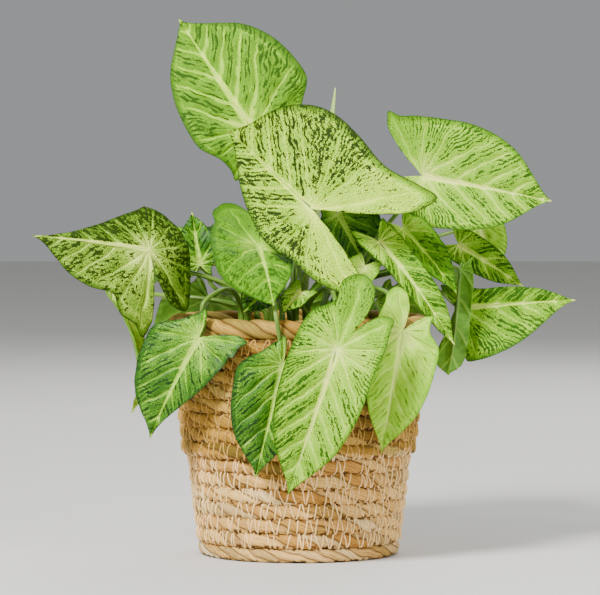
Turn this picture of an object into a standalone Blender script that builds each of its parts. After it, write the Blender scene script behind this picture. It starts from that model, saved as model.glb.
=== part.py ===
"""Potted arrowhead plant in a basket planter of coiled rope.

Metres, +Z up, with the origin at the middle of the basket's underside. The side that is seen
first faces -Y. Leaves and crowns are placed by points in millimetres, which mm() turns into metres.
"""
import math
import random
from dataclasses import dataclass

import bmesh
import bpy
from mathutils import Matrix, Vector

for old_object in list(bpy.data.objects):
    bpy.data.objects.remove(old_object, do_unlink=True)

# Driving dimensions of the basket
BASKET_FOOT_RADIUS = 0.0575
BASKET_SEAM_RADII = (0.0648, 0.0674)
BASKET_RIM_RADIUS = 0.0755
BASKET_HEIGHT = 0.1375
BASKET_WALL = 0.0075
BASKET_FLOOR = 0.0075
ROPE_PITCH = 0.0084
ROPE_GROOVE = 0.0016
ROPE_TWIST = 0.0005
LOWER_ROWS = 7
UPPER_ROWS = 8
RIM_ROPE_RADIUS = 0.0058
RIM_ROPE_SIDES = 9
FOOT_ROUNDING = 0.0015
BASKET_SEGMENTS = 48
ROPE_LUMPS = 24
MERGE_DISTANCE = 0.000001
SEAM_MERGE = 0.00004
SEAM_ROUNDS = 2

# Driving dimensions of what stands in the basket
GAP = 0.0003
POT_WALL = 0.0012
POT_TOP = 0.128
POT_LIP = 0.0015
POT_LIP_HEIGHT = 0.005
POT_FOOT_RADIUS = 0.0465
POT_TOP_RADIUS = 0.0625
POT_SEGMENTS = 32
SOIL_LEVEL = 0.125
SOIL_RELIEF = 0.0012
SOIL_RINGS = 4
CROWN_RADIUS = 0.0085
CROWN_DEPTH = 0.018
CROWN_RISE = 0.008
CROWN_SIDES = 12
NECK_RISE = 0.004
SOCKET_RING = 0.0052
SOCKET_DEPTH = 0.009
SOCKET_SIDES = 8
DRILL_OVERRUN = 0.002

# Driving dimensions of the leaves
BLADE_THICKNESS = 0.00075
PETIOLE_FOOT = 0.0016
PETIOLE_HEAD = 0.0012
MIDRIB_END = 0.0005
MIDRIB_REACH = 0.36
MIDRIB_SINK = 0.0002
MIDRIB_MIDDLE = 0.45
ELBOW_REACH = 0.009
TUBE_SPACING = 0.017
BLADE_COLUMNS = {False: 10, True: 14}
HALF_BLADE_ROWS = 2
RIPPLES = 2.2
RIPPLE_SHIFT = 0.4

COLLECTION_NAME = "potted_arrowhead_plant"


def mm(x, y, z):
    """Point in metres from its coordinates in millimetres."""
    return Vector((x, y, z)) * 0.001


def make_collection(name):
    """New collection under the scene's own."""
    collection = bpy.data.collections.new(name)
    bpy.context.scene.collection.children.link(collection)
    return collection


PARTS = make_collection(COLLECTION_NAME)
CUTTERS = make_collection("cutters")


def material(name, colour, roughness):
    """Principled material with one colour."""
    made = bpy.data.materials.get(name)
    if made:
        return made
    made = bpy.data.materials.new(name)
    made.use_nodes = True
    made.diffuse_color = (*colour, 1.0)
    shader = made.node_tree.nodes["Principled BSDF"]
    shader.inputs["Base Color"].default_value = (*colour, 1.0)
    shader.inputs["Roughness"].default_value = roughness
    shader.inputs["Metallic"].default_value = 0.0
    return made


STRAW = material("straw_rope", (0.55, 0.34, 0.15), 0.85)
WHITEWASH = material("whitewashed_rope", (0.62, 0.50, 0.38), 0.85)
PLASTIC = material("dark_pot_plastic", (0.025, 0.025, 0.025), 0.5)
SOIL_MIX = material("potting_soil", (0.06, 0.035, 0.02), 0.95)
CROWN_GREEN = material("crown_green", (0.16, 0.28, 0.06), 0.6)
PALE_LEAF = material("pale_leaf", (0.36, 0.55, 0.17), 0.4)
MOTTLED_LEAF = material("mottled_leaf", (0.16, 0.36, 0.08), 0.4)
PLAIN_LEAF = material("plain_leaf", (0.22, 0.45, 0.07), 0.45)
DARK_LEAF = material("dark_leaf", (0.05, 0.18, 0.04), 0.4)


def add_object(name, mesh, finish, collection=PARTS):
    """Link a mesh as a named object with one material."""
    made = bpy.data.objects.new(name, mesh)
    mesh.name = name
    mesh.materials.clear()
    if finish:
        mesh.materials.append(finish)
    collection.objects.link(made)
    return made


def bake(obj):
    """Replace an object's mesh by what its modifiers make of it, and drop the modifiers."""
    graph = bpy.context.evaluated_depsgraph_get()
    baked = bpy.data.meshes.new_from_object(obj.evaluated_get(graph))
    baked.name = obj.name
    obj.modifiers.clear()
    obj.data = baked
    return obj


def move_points(obj, rule):
    """Move each vertex of an object's mesh by a rule on its coordinates."""
    for vertex in obj.data.vertices:
        vertex.co = rule(vertex.co.copy())
    obj.data.update()


def turned(name, profile, segments, finish, collection=PARTS):
    """Turned solid from a profile of (radius, height) points, ending on the axis."""
    mesh = bpy.data.meshes.new(name)
    bm = bmesh.new()
    points = [bm.verts.new((radius, 0.0, height)) for radius, height in profile]
    for first, second in zip(points, points[1:]):
        bm.edges.new((first, second))
    bm.to_mesh(mesh)
    bm.free()
    made = add_object(name, mesh, finish, collection)
    screw = made.modifiers.new("turn", "SCREW")
    screw.steps = segments
    screw.render_steps = segments
    screw.use_merge_vertices = True
    screw.merge_threshold = MERGE_DISTANCE
    return bake(made)


def boolean(target, tool, operation, solver="EXACT"):
    """Apply a Boolean of the target with a tool, and remove the tool."""
    step = target.modifiers.new(operation.lower(), "BOOLEAN")
    step.operation = operation
    step.solver = solver
    step.object = tool
    bake(target)
    bpy.data.objects.remove(tool, do_unlink=True)
    return target


def tidy_seam(obj):
    """Merge the tiny slivers that a union leaves along its seam into their neighbours."""
    bm = bmesh.new()
    bm.from_mesh(obj.data)
    bmesh.ops.remove_doubles(bm, verts=bm.verts, dist=SEAM_MERGE)
    for _ in range(SEAM_ROUNDS):
        bmesh.ops.dissolve_degenerate(bm, edges=bm.edges, dist=SEAM_MERGE)
        bmesh.ops.triangulate(bm, faces=bm.faces)
    bm.to_mesh(obj.data)
    bm.free()
    return obj


def upright_cylinder(name, radius, bottom, top, centre, segments, finish=None, collection=CUTTERS):
    """Cylinder that stands on the XY point of centre."""
    mesh = bpy.data.meshes.new(name)
    bm = bmesh.new()
    place = Matrix.Translation((centre.x, centre.y, (bottom + top) / 2))
    bmesh.ops.create_cone(bm, cap_ends=True, segments=segments, radius1=radius, radius2=radius,
                          depth=top - bottom, matrix=place)
    bm.to_mesh(mesh)
    bm.free()
    made = add_object(name, mesh, finish, collection)
    if collection is CUTTERS:
        made.hide_render = True
        made.display_type = "WIRE"
    return made


def hole_radius(clear_radius, segments):
    """Radius of a many-sided hole whose flats keep clear_radius from its axis."""
    return clear_radius / math.cos(math.pi / segments)


# Basket

def basket_radius(height):
    """Outer radius over the rope crests: it widens upwards, with a small step where the rows meet."""
    seam = LOWER_ROWS * ROPE_PITCH
    below, above = BASKET_SEAM_RADII
    if height < seam:
        return BASKET_FOOT_RADIUS + (below - BASKET_FOOT_RADIUS) * height / seam
    return above + (BASKET_RIM_RADIUS - above) * (height - seam) / (BASKET_HEIGHT - seam)


def rope_rows(first, count):
    """Profile points down the outer side of some rope rows, each a groove and a crest."""
    points = []
    for row in reversed(range(first, first + count)):
        crest = (row + 0.5) * ROPE_PITCH
        points.append((basket_radius(crest), crest))
        groove = row * ROPE_PITCH
        points.append((basket_radius(groove) - ROPE_GROOVE, groove))
    return points


def twist_rope(obj):
    """Raise lumps round the outer side, turned half a lump from each rope row to the next."""
    def rule(point):
        radius = math.hypot(point.x, point.y)
        if radius < basket_radius(point.z) - ROPE_GROOVE / 2:
            return point
        angle = math.atan2(point.y, point.x)
        row = math.floor(point.z / ROPE_PITCH)
        lump = ROPE_TWIST * math.cos(ROPE_LUMPS * angle + math.pi * row)
        return Vector((point.x * (1 + lump / radius), point.y * (1 + lump / radius), point.z))
    move_points(obj, rule)


def make_basket_lower():
    """Whitewashed rows with the coiled floor, as one cup."""
    top = LOWER_ROWS * ROPE_PITCH - GAP / 2
    wall_top = basket_radius(top) - BASKET_WALL
    wall_foot = BASKET_FOOT_RADIUS - BASKET_WALL
    profile = [(0.0, BASKET_FLOOR), (wall_foot, BASKET_FLOOR), (wall_top, top),
               (basket_radius(top) - ROPE_GROOVE, top)]
    profile += rope_rows(0, LOWER_ROWS)
    foot_flat = profile[-1][0] - FOOT_ROUNDING
    profile[-1] = (foot_flat, 0.0)
    profile.append((0.0, 0.0))
    made = turned("basket_lower", profile, BASKET_SEGMENTS, WHITEWASH)
    twist_rope(made)
    return made


def make_basket_upper():
    """Natural rows with the thick rope of the rim, as one ring."""
    bottom = LOWER_ROWS * ROPE_PITCH + GAP / 2
    rows_top = (LOWER_ROWS + UPPER_ROWS) * ROPE_PITCH
    rim_radius = BASKET_RIM_RADIUS - RIM_ROPE_RADIUS
    rim_height = BASKET_HEIGHT - RIM_ROPE_RADIUS
    rim = []
    for side in range(RIM_ROPE_SIDES - 2):
        angle = math.pi + math.tau * (0.25 - side) / RIM_ROPE_SIDES
        rim.append((rim_radius + RIM_ROPE_RADIUS * math.cos(angle),
                    rim_height + RIM_ROPE_RADIUS * math.sin(angle)))
    rows = rope_rows(LOWER_ROWS, UPPER_ROWS)
    rows[-1] = (rows[-1][0], bottom)
    wall_foot = (basket_radius(bottom) - BASKET_WALL, bottom)
    wall_top = (basket_radius(rows_top) - BASKET_WALL, rows_top)
    profile = [wall_foot, wall_top] + rim + rows + [wall_foot]
    made = turned("basket_upper", profile, BASKET_SEGMENTS, STRAW)
    twist_rope(made)
    return made


# Nursery pot and soil

def pot_radius(height):
    """Outer radius of the nursery pot's wall."""
    foot = BASKET_FLOOR + GAP
    share = (height - foot) / (POT_TOP - foot)
    return POT_FOOT_RADIUS + (POT_TOP_RADIUS - POT_FOOT_RADIUS) * share


def make_nursery_pot():
    """Thin tapered pot with a lip round its mouth, standing on the basket's floor."""
    foot = BASKET_FLOOR + GAP
    lip_bottom = POT_TOP - POT_LIP_HEIGHT
    profile = [(0.0, foot + POT_WALL), (pot_radius(foot) - POT_WALL, foot + POT_WALL),
               (pot_radius(POT_TOP) - POT_WALL, POT_TOP),
               (POT_TOP_RADIUS + POT_LIP, POT_TOP), (POT_TOP_RADIUS + POT_LIP, lip_bottom),
               (pot_radius(lip_bottom), lip_bottom), (POT_FOOT_RADIUS, foot), (0.0, foot)]
    return turned("nursery_pot", profile, POT_SEGMENTS, PLASTIC)


def make_soil(crowns):
    """Soil that fills the pot, with a crumbled top and a plain hole for each crown."""
    bottom = BASKET_FLOOR + POT_WALL + 2 * GAP
    edge = pot_radius(SOIL_LEVEL) - POT_WALL - GAP
    profile = [(edge * ring / SOIL_RINGS, SOIL_LEVEL) for ring in range(SOIL_RINGS + 1)]
    profile[-1] = (edge, SOIL_LEVEL - SOIL_RELIEF)
    profile += [(pot_radius(bottom) - POT_WALL - GAP, bottom), (0.0, bottom)]
    soil = turned("soil", profile, POT_SEGMENTS, SOIL_MIX)
    crumbs = random.Random(5)

    def rule(point):
        if point.z < SOIL_LEVEL - SOIL_RELIEF / 2:
            return point
        return point + Vector((0, 0, crumbs.uniform(-SOIL_RELIEF, SOIL_RELIEF)))
    move_points(soil, rule)
    for centre in crowns:
        hole = upright_cylinder("crown_hole", hole_radius(CROWN_RADIUS + GAP, CROWN_SIDES),
                                SOIL_LEVEL - CROWN_DEPTH, POT_TOP, centre, CROWN_SIDES)
        boolean(soil, hole, "DIFFERENCE")
    return soil


# Leaves

@dataclass(frozen=True)
class Leaf:
    """One leaf: its blade from the petiole's end (at) to its tip, in millimetres.

    face points out of the upper side. Pairs are for the left and the right half, as seen on the
    upper side with the tip up: half width, how early it narrows to the tip, how far the margin
    stands out before the lobe, lobe length, how broad and round it is, its angle from the tip's
    direction, fold up from the midrib and the further turn to the margin. Lengths are shares of
    the blade's length.
    """
    name: str
    crown: int
    finish: bpy.types.Material
    at: tuple
    tip: tuple
    face: tuple
    width: tuple = (0.42, 0.42)
    taper: tuple = (1.0, 1.0)
    shoulder: tuple = (0.8, 0.8)
    lobe: tuple = (0.55, 0.55)
    breadth: tuple = (1.0, 1.0)
    spread: tuple = (135, 135)
    fold: tuple = (16, 16)
    curl: tuple = (-12, -12)
    bend: tuple = (25, 20)
    twist: float = 0.0
    wave: float = 0.012
    via: tuple = ()
    fine: bool = False


# Outline of half a blade: (half width, height) from the tip down, for a half width of one half
FRONT_OUTLINE = ((0.0, 1.0), (0.07, 0.93), (0.20, 0.82), (0.35, 0.67), (0.455, 0.48),
                 (0.50, 0.28), (0.50, 0.10))
# The lobe behind the petiole: (angle from the lobe's own, share of the lobe's length)
LOBE_OUTLINE = ((-9, 0.87), (-1.5, 1.0), (4, 0.88), (8, 0.60), (10, 0.30))
SHOULDER_TURN = -25
# A lobe that turns further back than this gets one more point on its way, and a lobe that turns
# back less than this starts one point sooner
LONG_TURN = 150
SHORT_TURN = 105
# Half width that the outlines are drawn for, and how the side veins run from the midrib out
HALF_WIDTH = 0.5
VEIN_SLOPE = 0.55
VEIN_BOW = (0.55, 0.3)
# How a petiole meets its blade: back towards the crown, under the blade and behind it
ELBOW_LEAN = (0.7, 0.7, 0.1)


def heading(points, index):
    """Direction of a smooth curve as it passes one of its points, per metre."""
    before, after = points[max(index - 1, 0)], points[min(index + 1, len(points) - 1)]
    here = points[index]
    if 0 < index < len(points) - 1:
        back, ahead = (here - before).length, (after - here).length
        return ((here - before) * (ahead / back) + (after - here) * (back / ahead)) / (back + ahead)
    return (after - before) / (after - before).length


def spline_point(points, share):
    """Point of a smooth curve through points, at a share of its spans."""
    spans = len(points) - 1
    place = min(share, 1.0) * spans
    index = min(int(place), spans - 1)
    t = place - index
    start, end = points[index], points[index + 1]
    reach = (end - start).length
    leave, arrive = heading(points, index) * reach, heading(points, index + 1) * reach
    return (start * (2 * t ** 3 - 3 * t ** 2 + 1) + leave * (t ** 3 - 2 * t ** 2 + t)
            + end * (3 * t ** 2 - 2 * t ** 3) + arrive * (t ** 3 - t ** 2))


def polar(angle, reach):
    """Flat point at an angle from the tip's direction, in degrees, and a reach from the petiole."""
    return Vector((reach * math.sin(math.radians(angle)), reach * math.cos(math.radians(angle))))


def half_outline(leaf, side):
    """Control points of one half's margin, as flat (x, y) in shares of the leaf's length."""
    width = leaf.width[side] / HALF_WIDTH
    spread = leaf.spread[side]
    shoulder = leaf.shoulder[side] * leaf.lobe[side]
    points = [Vector((x * width, y ** leaf.taper[side])) for x, y in FRONT_OUTLINE]
    if spread < SHORT_TURN:
        points.pop()
    if spread > LONG_TURN:
        points.append(polar((90 + spread + SHOULDER_TURN) / 2, min(leaf.width[side], shoulder)))
    points.append(polar(spread + SHOULDER_TURN, shoulder))
    breadth = leaf.breadth[side]
    points += [polar(spread + turn * breadth, leaf.lobe[side] * share) for turn, share in LOBE_OUTLINE]
    return points


def flat_point(outline, along, across):
    """Flat point of a half blade: along from the tip to the sinus, across from the midrib out."""
    margin = spline_point(outline, along)
    root = Vector((0.0, max(0.0, margin.y - VEIN_SLOPE * abs(margin.x))))
    if along == 0.0:
        return margin
    control = Vector((VEIN_BOW[0] * margin.x, root.y + VEIN_BOW[1] * (margin.y - root.y)))
    if root.y == 0.0:
        control = (root + margin) / 2
    return (root * (1 - across) ** 2 + control * 2 * across * (1 - across) + margin * across ** 2)


def arc(distance, start, rate):
    """Sideways and upward run of a path whose slope starts at start and turns at a rate."""
    if abs(rate) < 1e-6:
        return distance * math.cos(start), distance * math.sin(start)
    end = start + rate * distance
    return ((math.sin(end) - math.sin(start)) / rate, (math.cos(start) - math.cos(end)) / rate)


class LeafFrame:
    """Carries flat points of a leaf to their folded and bent place in the world."""

    def __init__(self, leaf):
        self.leaf = leaf
        at, tip = mm(*leaf.at), mm(*leaf.tip)
        bent_tip = self.bent(Vector((0.0, 1.0)), 0.0)
        chord = Vector((0.0, bent_tip.y, bent_tip.z)).normalized()
        self.scale = (tip - at).length / bent_tip.length
        along = (tip - at).normalized()
        face = Vector(leaf.face)
        face = (face - along * face.dot(along)).normalized()
        world = Matrix((along.cross(face), along, face)).transposed()
        local = Matrix((Vector((1, 0, 0)), chord, Vector((0, -chord.z, chord.y))))
        self.turn = world @ local
        self.at = at
        self.along = along
        self.face = face

    def bent(self, flat, lift):
        """Folded and bent place of a flat point, in shares of the leaf's length."""
        leaf = self.leaf
        side = 1 if flat.x > 0 else 0
        fold = math.radians(leaf.fold[side])
        rate = math.radians(leaf.curl[side]) / HALF_WIDTH
        out, up = arc(abs(flat.x), fold, rate)
        out = math.copysign(out, flat.x)
        up += lift
        twist = math.radians(leaf.twist) * flat.y
        out, up = (out * math.cos(twist) - up * math.sin(twist),
                   out * math.sin(twist) + up * math.cos(twist))
        bend = math.radians(leaf.bend[0] if flat.y > 0 else leaf.bend[1])
        run, drop = arc(abs(flat.y), 0.0, bend)
        slope = bend * abs(flat.y)
        forward = math.copysign(1.0, flat.y)
        return Vector((out, forward * (run + up * math.sin(slope)), up * math.cos(slope) - drop))

    def place(self, flat, lift=0.0):
        """World place of a flat point, raised by a lift in metres."""
        return self.at + self.turn @ (self.bent(flat, lift / self.scale) * self.scale)


def make_blade(leaf, frame):
    """Blade as a thin solid, from a grid laid out along the midrib, the lobes and the margin."""
    columns = BLADE_COLUMNS[leaf.fine]
    rows = HALF_BLADE_ROWS
    outlines = half_outline(leaf, 0), half_outline(leaf, 1)
    bm = bmesh.new()
    bmesh.ops.create_grid(bm, x_segments=columns, y_segments=2 * rows, size=1.0)
    for vertex in bm.verts:
        along = round((vertex.co.x + 1) / 2 * columns) / columns
        across = round(abs(vertex.co.y) * rows) / rows
        side = 1 if vertex.co.y > 0 else 0
        flat = flat_point(outlines[side], along, across)
        if side == 0:
            flat.x = -flat.x
        ripple = leaf.wave * across ** 2 * math.sin(math.tau * (RIPPLES * along + RIPPLE_SHIFT * side))
        vertex.co = frame.place(flat, ripple * frame.scale)
    bmesh.ops.remove_doubles(bm, verts=bm.verts, dist=MERGE_DISTANCE)
    bmesh.ops.triangulate(bm, faces=bm.faces)
    mesh = bpy.data.meshes.new(leaf.name)
    bm.to_mesh(mesh)
    bm.free()
    blade = add_object(leaf.name, mesh, leaf.finish)
    shell = blade.modifiers.new("thickness", "SOLIDIFY")
    shell.thickness = BLADE_THICKNESS
    shell.offset = 0.0
    return bake(blade)


def smooth_route(points, spacing):
    """Points of a smooth curve through points, about one every spacing."""
    route = []
    spans = len(points) - 1
    for span in range(spans):
        steps = max(1, round((points[span + 1] - points[span]).length / spacing))
        for step in range(steps):
            route.append(spline_point(points, (span + step / steps) / spans))
    route.append(points[-1])
    return route


def make_tube(name, route, radii, finish):
    """Round tube along a route, with a radius at each point and closed ends, as a mesh."""
    curve = bpy.data.curves.new(name, "CURVE")
    curve.dimensions = "3D"
    curve.bevel_depth = 1.0
    curve.bevel_resolution = 1
    curve.use_fill_caps = True
    spline = curve.splines.new("POLY")
    spline.points.add(len(route) - 1)
    for point, place, radius in zip(spline.points, route, radii):
        point.co = (*place, 1.0)
        point.radius = radius
    guide = bpy.data.objects.new("guide", curve)
    PARTS.objects.link(guide)
    graph = bpy.context.evaluated_depsgraph_get()
    mesh = bpy.data.meshes.new_from_object(guide.evaluated_get(graph))
    bm = bmesh.new()
    bm.from_mesh(mesh)
    bmesh.ops.remove_doubles(bm, verts=bm.verts, dist=MERGE_DISTANCE)
    bm.to_mesh(mesh)
    bm.free()
    made = add_object(name, mesh, finish)
    made.matrix_world = guide.matrix_world
    bpy.data.objects.remove(guide, do_unlink=True)
    return made


def midrib_radius(share):
    """Radius of the midrib under the blade, at a share of the leaf's length from the petiole."""
    return PETIOLE_HEAD + (MIDRIB_END - PETIOLE_HEAD) * min(1.0, share / MIDRIB_REACH)


def make_petiole(leaf, frame, socket):
    """Petiole from its socket in the crown, and the midrib that it runs into under the blade."""
    fold = math.radians(min(0, *leaf.fold))
    stations = [frame.place(Vector((0.0, share)), -(midrib_radius(share) - MIDRIB_SINK) / math.cos(fold))
                for share in (0.0, MIDRIB_REACH * MIDRIB_MIDDLE, MIDRIB_REACH)]
    below = stations[0]
    foot = Vector((socket.x, socket.y, SOIL_LEVEL + CROWN_RISE - SOCKET_DEPTH + GAP))
    neck = Vector((socket.x, socket.y, SOIL_LEVEL + CROWN_RISE + NECK_RISE))
    last = mm(*leaf.via[-1]) if leaf.via else neck
    home, under, behind = ELBOW_LEAN
    arrival = (last - below).normalized() * home - frame.face * under - frame.along * behind
    elbow = below + arrival.normalized() * ELBOW_REACH
    stops = [foot, neck] + [mm(*point) for point in leaf.via] + [elbow] + stations
    route = smooth_route(stops, TUBE_SPACING)
    count = len(route)
    head = min(range(count), key=lambda index: (route[index] - below).length)
    radii = []
    for index in range(count):
        if index <= head:
            radii.append(PETIOLE_FOOT + (PETIOLE_HEAD - PETIOLE_FOOT) * index / head)
        else:
            radii.append(midrib_radius(MIDRIB_REACH * (index - head) / (count - 1 - head)))
    return make_tube(leaf.name + "_petiole", route, radii, leaf.finish)


CROWNS = (mm(0, -26, 0), mm(-28, -8, 0), mm(27, -10, 0), mm(-14, 24, 0), mm(18, 27, 0), mm(0, 2, 0))

LEAVES = (
    Leaf("leaf_top_left", 5, PALE_LEAF, at=(-27, -5, 244), tip=(-69, 12, 307), face=(0, -1, 0),
         width=(0.40, 0.55), lobe=(0.40, 0.5), spread=(130, 128), fold=(10, 8), fine=True),
    Leaf("leaf_centre", 0, PALE_LEAF, at=(7, -62, 199), tip=(-40, -22, 243), face=(0, -1, 0),
         width=(0.41, 0.63), taper=(2.0, 0.85), shoulder=(0.7, 0.68), lobe=(0.78, 0.93),
         spread=(163, 134), fold=(12, 8), fine=True),
    Leaf("leaf_top_right", 2, PALE_LEAF, at=(71, -15, 217), tip=(143, -25, 203), face=(0, -1, 0.1),
         width=(0.46, 0.38), lobe=(0.58, 0.3), spread=(130, 158), fine=True),
    Leaf("leaf_left", 1, MOTTLED_LEAF, at=(-84, -50, 176), tip=(-147, -68, 184), face=(0, -1, 0.3),
         width=(0.42, 0.42), taper=(1.0, 3.6), shoulder=(0.82, 0.75), lobe=(0.74, 0.64),
         breadth=(1.0, 1.6), spread=(98, 227), fold=(-10, -14), curl=(-6, -6), fine=True),
    Leaf("leaf_low_left", 1, DARK_LEAF, at=(-56, -62, 127), tip=(-84, -48, 70), face=(-0.3, -1, 0),
         width=(0.34, 0.39), taper=(2.3, 1.0), lobe=(0.45, 0.26), spread=(114, 165),
         via=((-46, -50, 152), (-54, -60, 145)), fine=True),
    Leaf("leaf_front_dark", 0, DARK_LEAF, at=(-9, -84, 113), tip=(-24, -80, 51), face=(0, -1, 0),
         width=(0.25, 0.38), lobe=(0.25, 0.26), spread=(150, 170), via=((-14, -62, 150), (-13, -79, 142)),
         fine=True),
    Leaf("leaf_front_pale", 0, PALE_LEAF, at=(21, -96, 123), tip=(-6, -86, 42), face=(0, -1, 0),
         width=(0.28, 0.29), shoulder=(0.8, 0.64), lobe=(0.40, 0.50), breadth=(1.5, 2.2),
         spread=(136, 186), via=((18, -66, 154), (20, -84, 148)), fine=True),
    Leaf("leaf_front_green", 2, PLAIN_LEAF, at=(58, -66, 131), tip=(46, -64, 63), face=(0, -1, 0),
         width=(0.31, 0.24), lobe=(0.27, 0.36), breadth=(1.0, 2.4), spread=(124, 165),
         via=((44, -46, 154), (53, -60, 148)), fine=True),
    Leaf("leaf_middle", 0, PALE_LEAF, at=(-23, -40, 177), tip=(-14, -85, 146), face=(0.1, -0.6, 0.8),
         width=(0.3, 0.52), taper=(1, 0.4), shoulder=(0.7, 0.8), lobe=(0.6, 0.8), breadth=(1.0, 2.5),
         spread=(155, 168), bend=(25, -25)),
    Leaf("leaf_right_folded", 2, PALE_LEAF, at=(45, -42, 180), tip=(87, -55, 123), face=(0.3, -0.9, 0.3),
         width=(0.15, 0.15), taper=(0.7, 0.7), lobe=(0.2, 0.25), spread=(130, 130), fold=(30, 30)),
    Leaf("leaf_right_narrow", 2, PALE_LEAF, at=(59, -25, 187), tip=(89, -38, 151), face=(0.3, -0.9, 0.3),
         width=(0.26, 0.26), lobe=(0.25, 0.25), spread=(130, 130), fold=(30, 30)),
    Leaf("leaf_low_right", 2, PALE_LEAF, at=(95, 0, 141), tip=(158, -8, 146), face=(0, -1, 0.2),
         width=(0.16, 0.5), taper=(0.8, 1.6), lobe=(0.3, 0.5), spread=(130, 118),
         via=((64, -4, 153), (82, -1, 150))),
    Leaf("leaf_right_far", 4, PALE_LEAF, at=(93, 20, 177), tip=(130, 15, 153), face=(0, -1, 0.2),
         width=(0.24, 0.24), lobe=(0.3, 0.3)),
    Leaf("leaf_right_hanging", 4, PLAIN_LEAF, at=(93, -14, 164), tip=(85, -28, 104), face=(1, 0.3, 0),
         width=(0.2, 0.12), taper=(0.2, 0.25), lobe=(0.15, 0.15), fold=(20, 50), bend=(10, 20),
         twist=50),
    Leaf("leaf_far_plain", 4, PLAIN_LEAF, at=(106, 45, 190), tip=(116, 45, 160), face=(0, -1, 0.2)),
    Leaf("leaf_far_young", 1, DARK_LEAF, at=(-57.5, 10, 166), tip=(-62, 14, 196), face=(0, -1, 0.2),
         width=(0.35, 0.35), lobe=(0.3, 0.3)),
    Leaf("leaf_young_left", 0, PALE_LEAF, at=(1, -58, 152), tip=(-9, -70, 141), face=(0, -0.8, 0.6),
         width=(0.38, 0.38)),
    Leaf("leaf_young_far", 1, DARK_LEAF, at=(-20, -40, 150), tip=(-31, -54, 141), face=(0, -0.8, 0.6),
         width=(0.5, 0.5)),
    Leaf("leaf_young_right", 2, PLAIN_LEAF, at=(37, -36, 166), tip=(27, -46, 152), face=(0, -0.8, 0.6),
         width=(0.5, 0.5)),
    Leaf("leaf_hanging_left", 3, PLAIN_LEAF, at=(-110, 30, 149), tip=(-98, 40, 78), face=(1, -0.3, 0.2),
         width=(0.16, 0.16), lobe=(0.2, 0.2), bend=(60, 20), via=((-40, 22, 143), (-68, 26, 147))),
    Leaf("leaf_back_left", 1, MOTTLED_LEAF, at=(-56, 54, 163), tip=(-96, 92, 148), face=(-0.3, 0.3, 1)),
    Leaf("leaf_back_high", 3, PALE_LEAF, at=(-24, 45, 184), tip=(-42, 100, 172), face=(-0.1, 0.2, 1)),
    Leaf("leaf_back_middle", 5, PALE_LEAF, at=(5, 55, 210), tip=(10, 118, 203), face=(0, 0.2, 1)),
    Leaf("leaf_back_right", 4, MOTTLED_LEAF, at=(40, 50, 200), tip=(75, 100, 188), face=(0.2, 0.2, 1)),
    Leaf("leaf_back_far_right", 4, PALE_LEAF, at=(66, 64, 162), tip=(100, 98, 146), face=(0.3, 0.3, 1)),
    Leaf("leaf_back_low_left", 3, DARK_LEAF, at=(-54, 70, 144), tip=(-76, 90, 92), face=(-0.4, 0.9, 0.1),
         lobe=(0.3, 0.3), via=((-40, 58, 154),)),
    Leaf("leaf_back_low_middle", 3, PLAIN_LEAF, at=(0, 88, 138), tip=(5, 92, 66), face=(0, 1, 0),
         width=(0.36, 0.36), lobe=(0.3, 0.3), via=((-5, 66, 154), (-4, 81, 148))),
    Leaf("leaf_back_low_right", 4, PALE_LEAF, at=(46, 74, 142), tip=(62, 94, 86), face=(0.4, 0.9, 0.1),
         lobe=(0.3, 0.3), via=((36, 61, 154),)),
    Leaf("leaf_back_top", 5, PALE_LEAF, at=(-2, 36, 226), tip=(20, 90, 234), face=(-0.1, -0.2, 1)),
    Leaf("leaf_inner_dark", 2, DARK_LEAF, at=(23, 16, 195), tip=(41, 5, 159), face=(0, -1, 0.2),
         width=(0.5, 0.5), lobe=(0.3, 0.3)),
    Leaf("leaf_side_left", 3, PALE_LEAF, at=(-76, 24, 178), tip=(-118, 58, 176), face=(-0.2, 0, 1)),
)

# The new leaf that is still rolled up: its way up, and its radius where it swells
ROLLED_CROWN = 5
ROLLED_STOPS = ((6, 4, 170), (16, 8, 225), (21, 10, 268))
ROLLED_RADIUS = 0.0026
ROLLED_TIP = 0.0004


def make_crown(name, centre, count):
    """Crown stub in the soil, with one upright socket for each petiole round its axis."""
    top = SOIL_LEVEL + CROWN_RISE
    crown = upright_cylinder(name, CROWN_RADIUS, SOIL_LEVEL - CROWN_DEPTH + GAP, top, centre,
                             CROWN_SIDES, CROWN_GREEN, PARTS)
    sockets = []
    for index in range(count):
        angle = math.tau * (index + 0.5) / count
        socket = centre + Vector((SOCKET_RING * math.cos(angle), SOCKET_RING * math.sin(angle), 0))
        sockets.append(socket)
        drill = upright_cylinder(name + "_socket", hole_radius(PETIOLE_FOOT + GAP, SOCKET_SIDES),
                                 top - SOCKET_DEPTH, top + DRILL_OVERRUN, socket, SOCKET_SIDES)
        boolean(crown, drill, "DIFFERENCE")
    return sockets


def match_sockets(centre, sockets, goals):
    """Socket for each goal: the lowest goals choose first, each the free one nearest its side."""
    free = list(sockets)
    chosen = [None] * len(goals)
    for index in sorted(range(len(goals)), key=lambda place: goals[place].z):
        side = (goals[index] - centre).xy
        chosen[index] = min(free, key=lambda socket: (socket - centre).xy.angle(side))
        free.remove(chosen[index])
    return chosen


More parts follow.
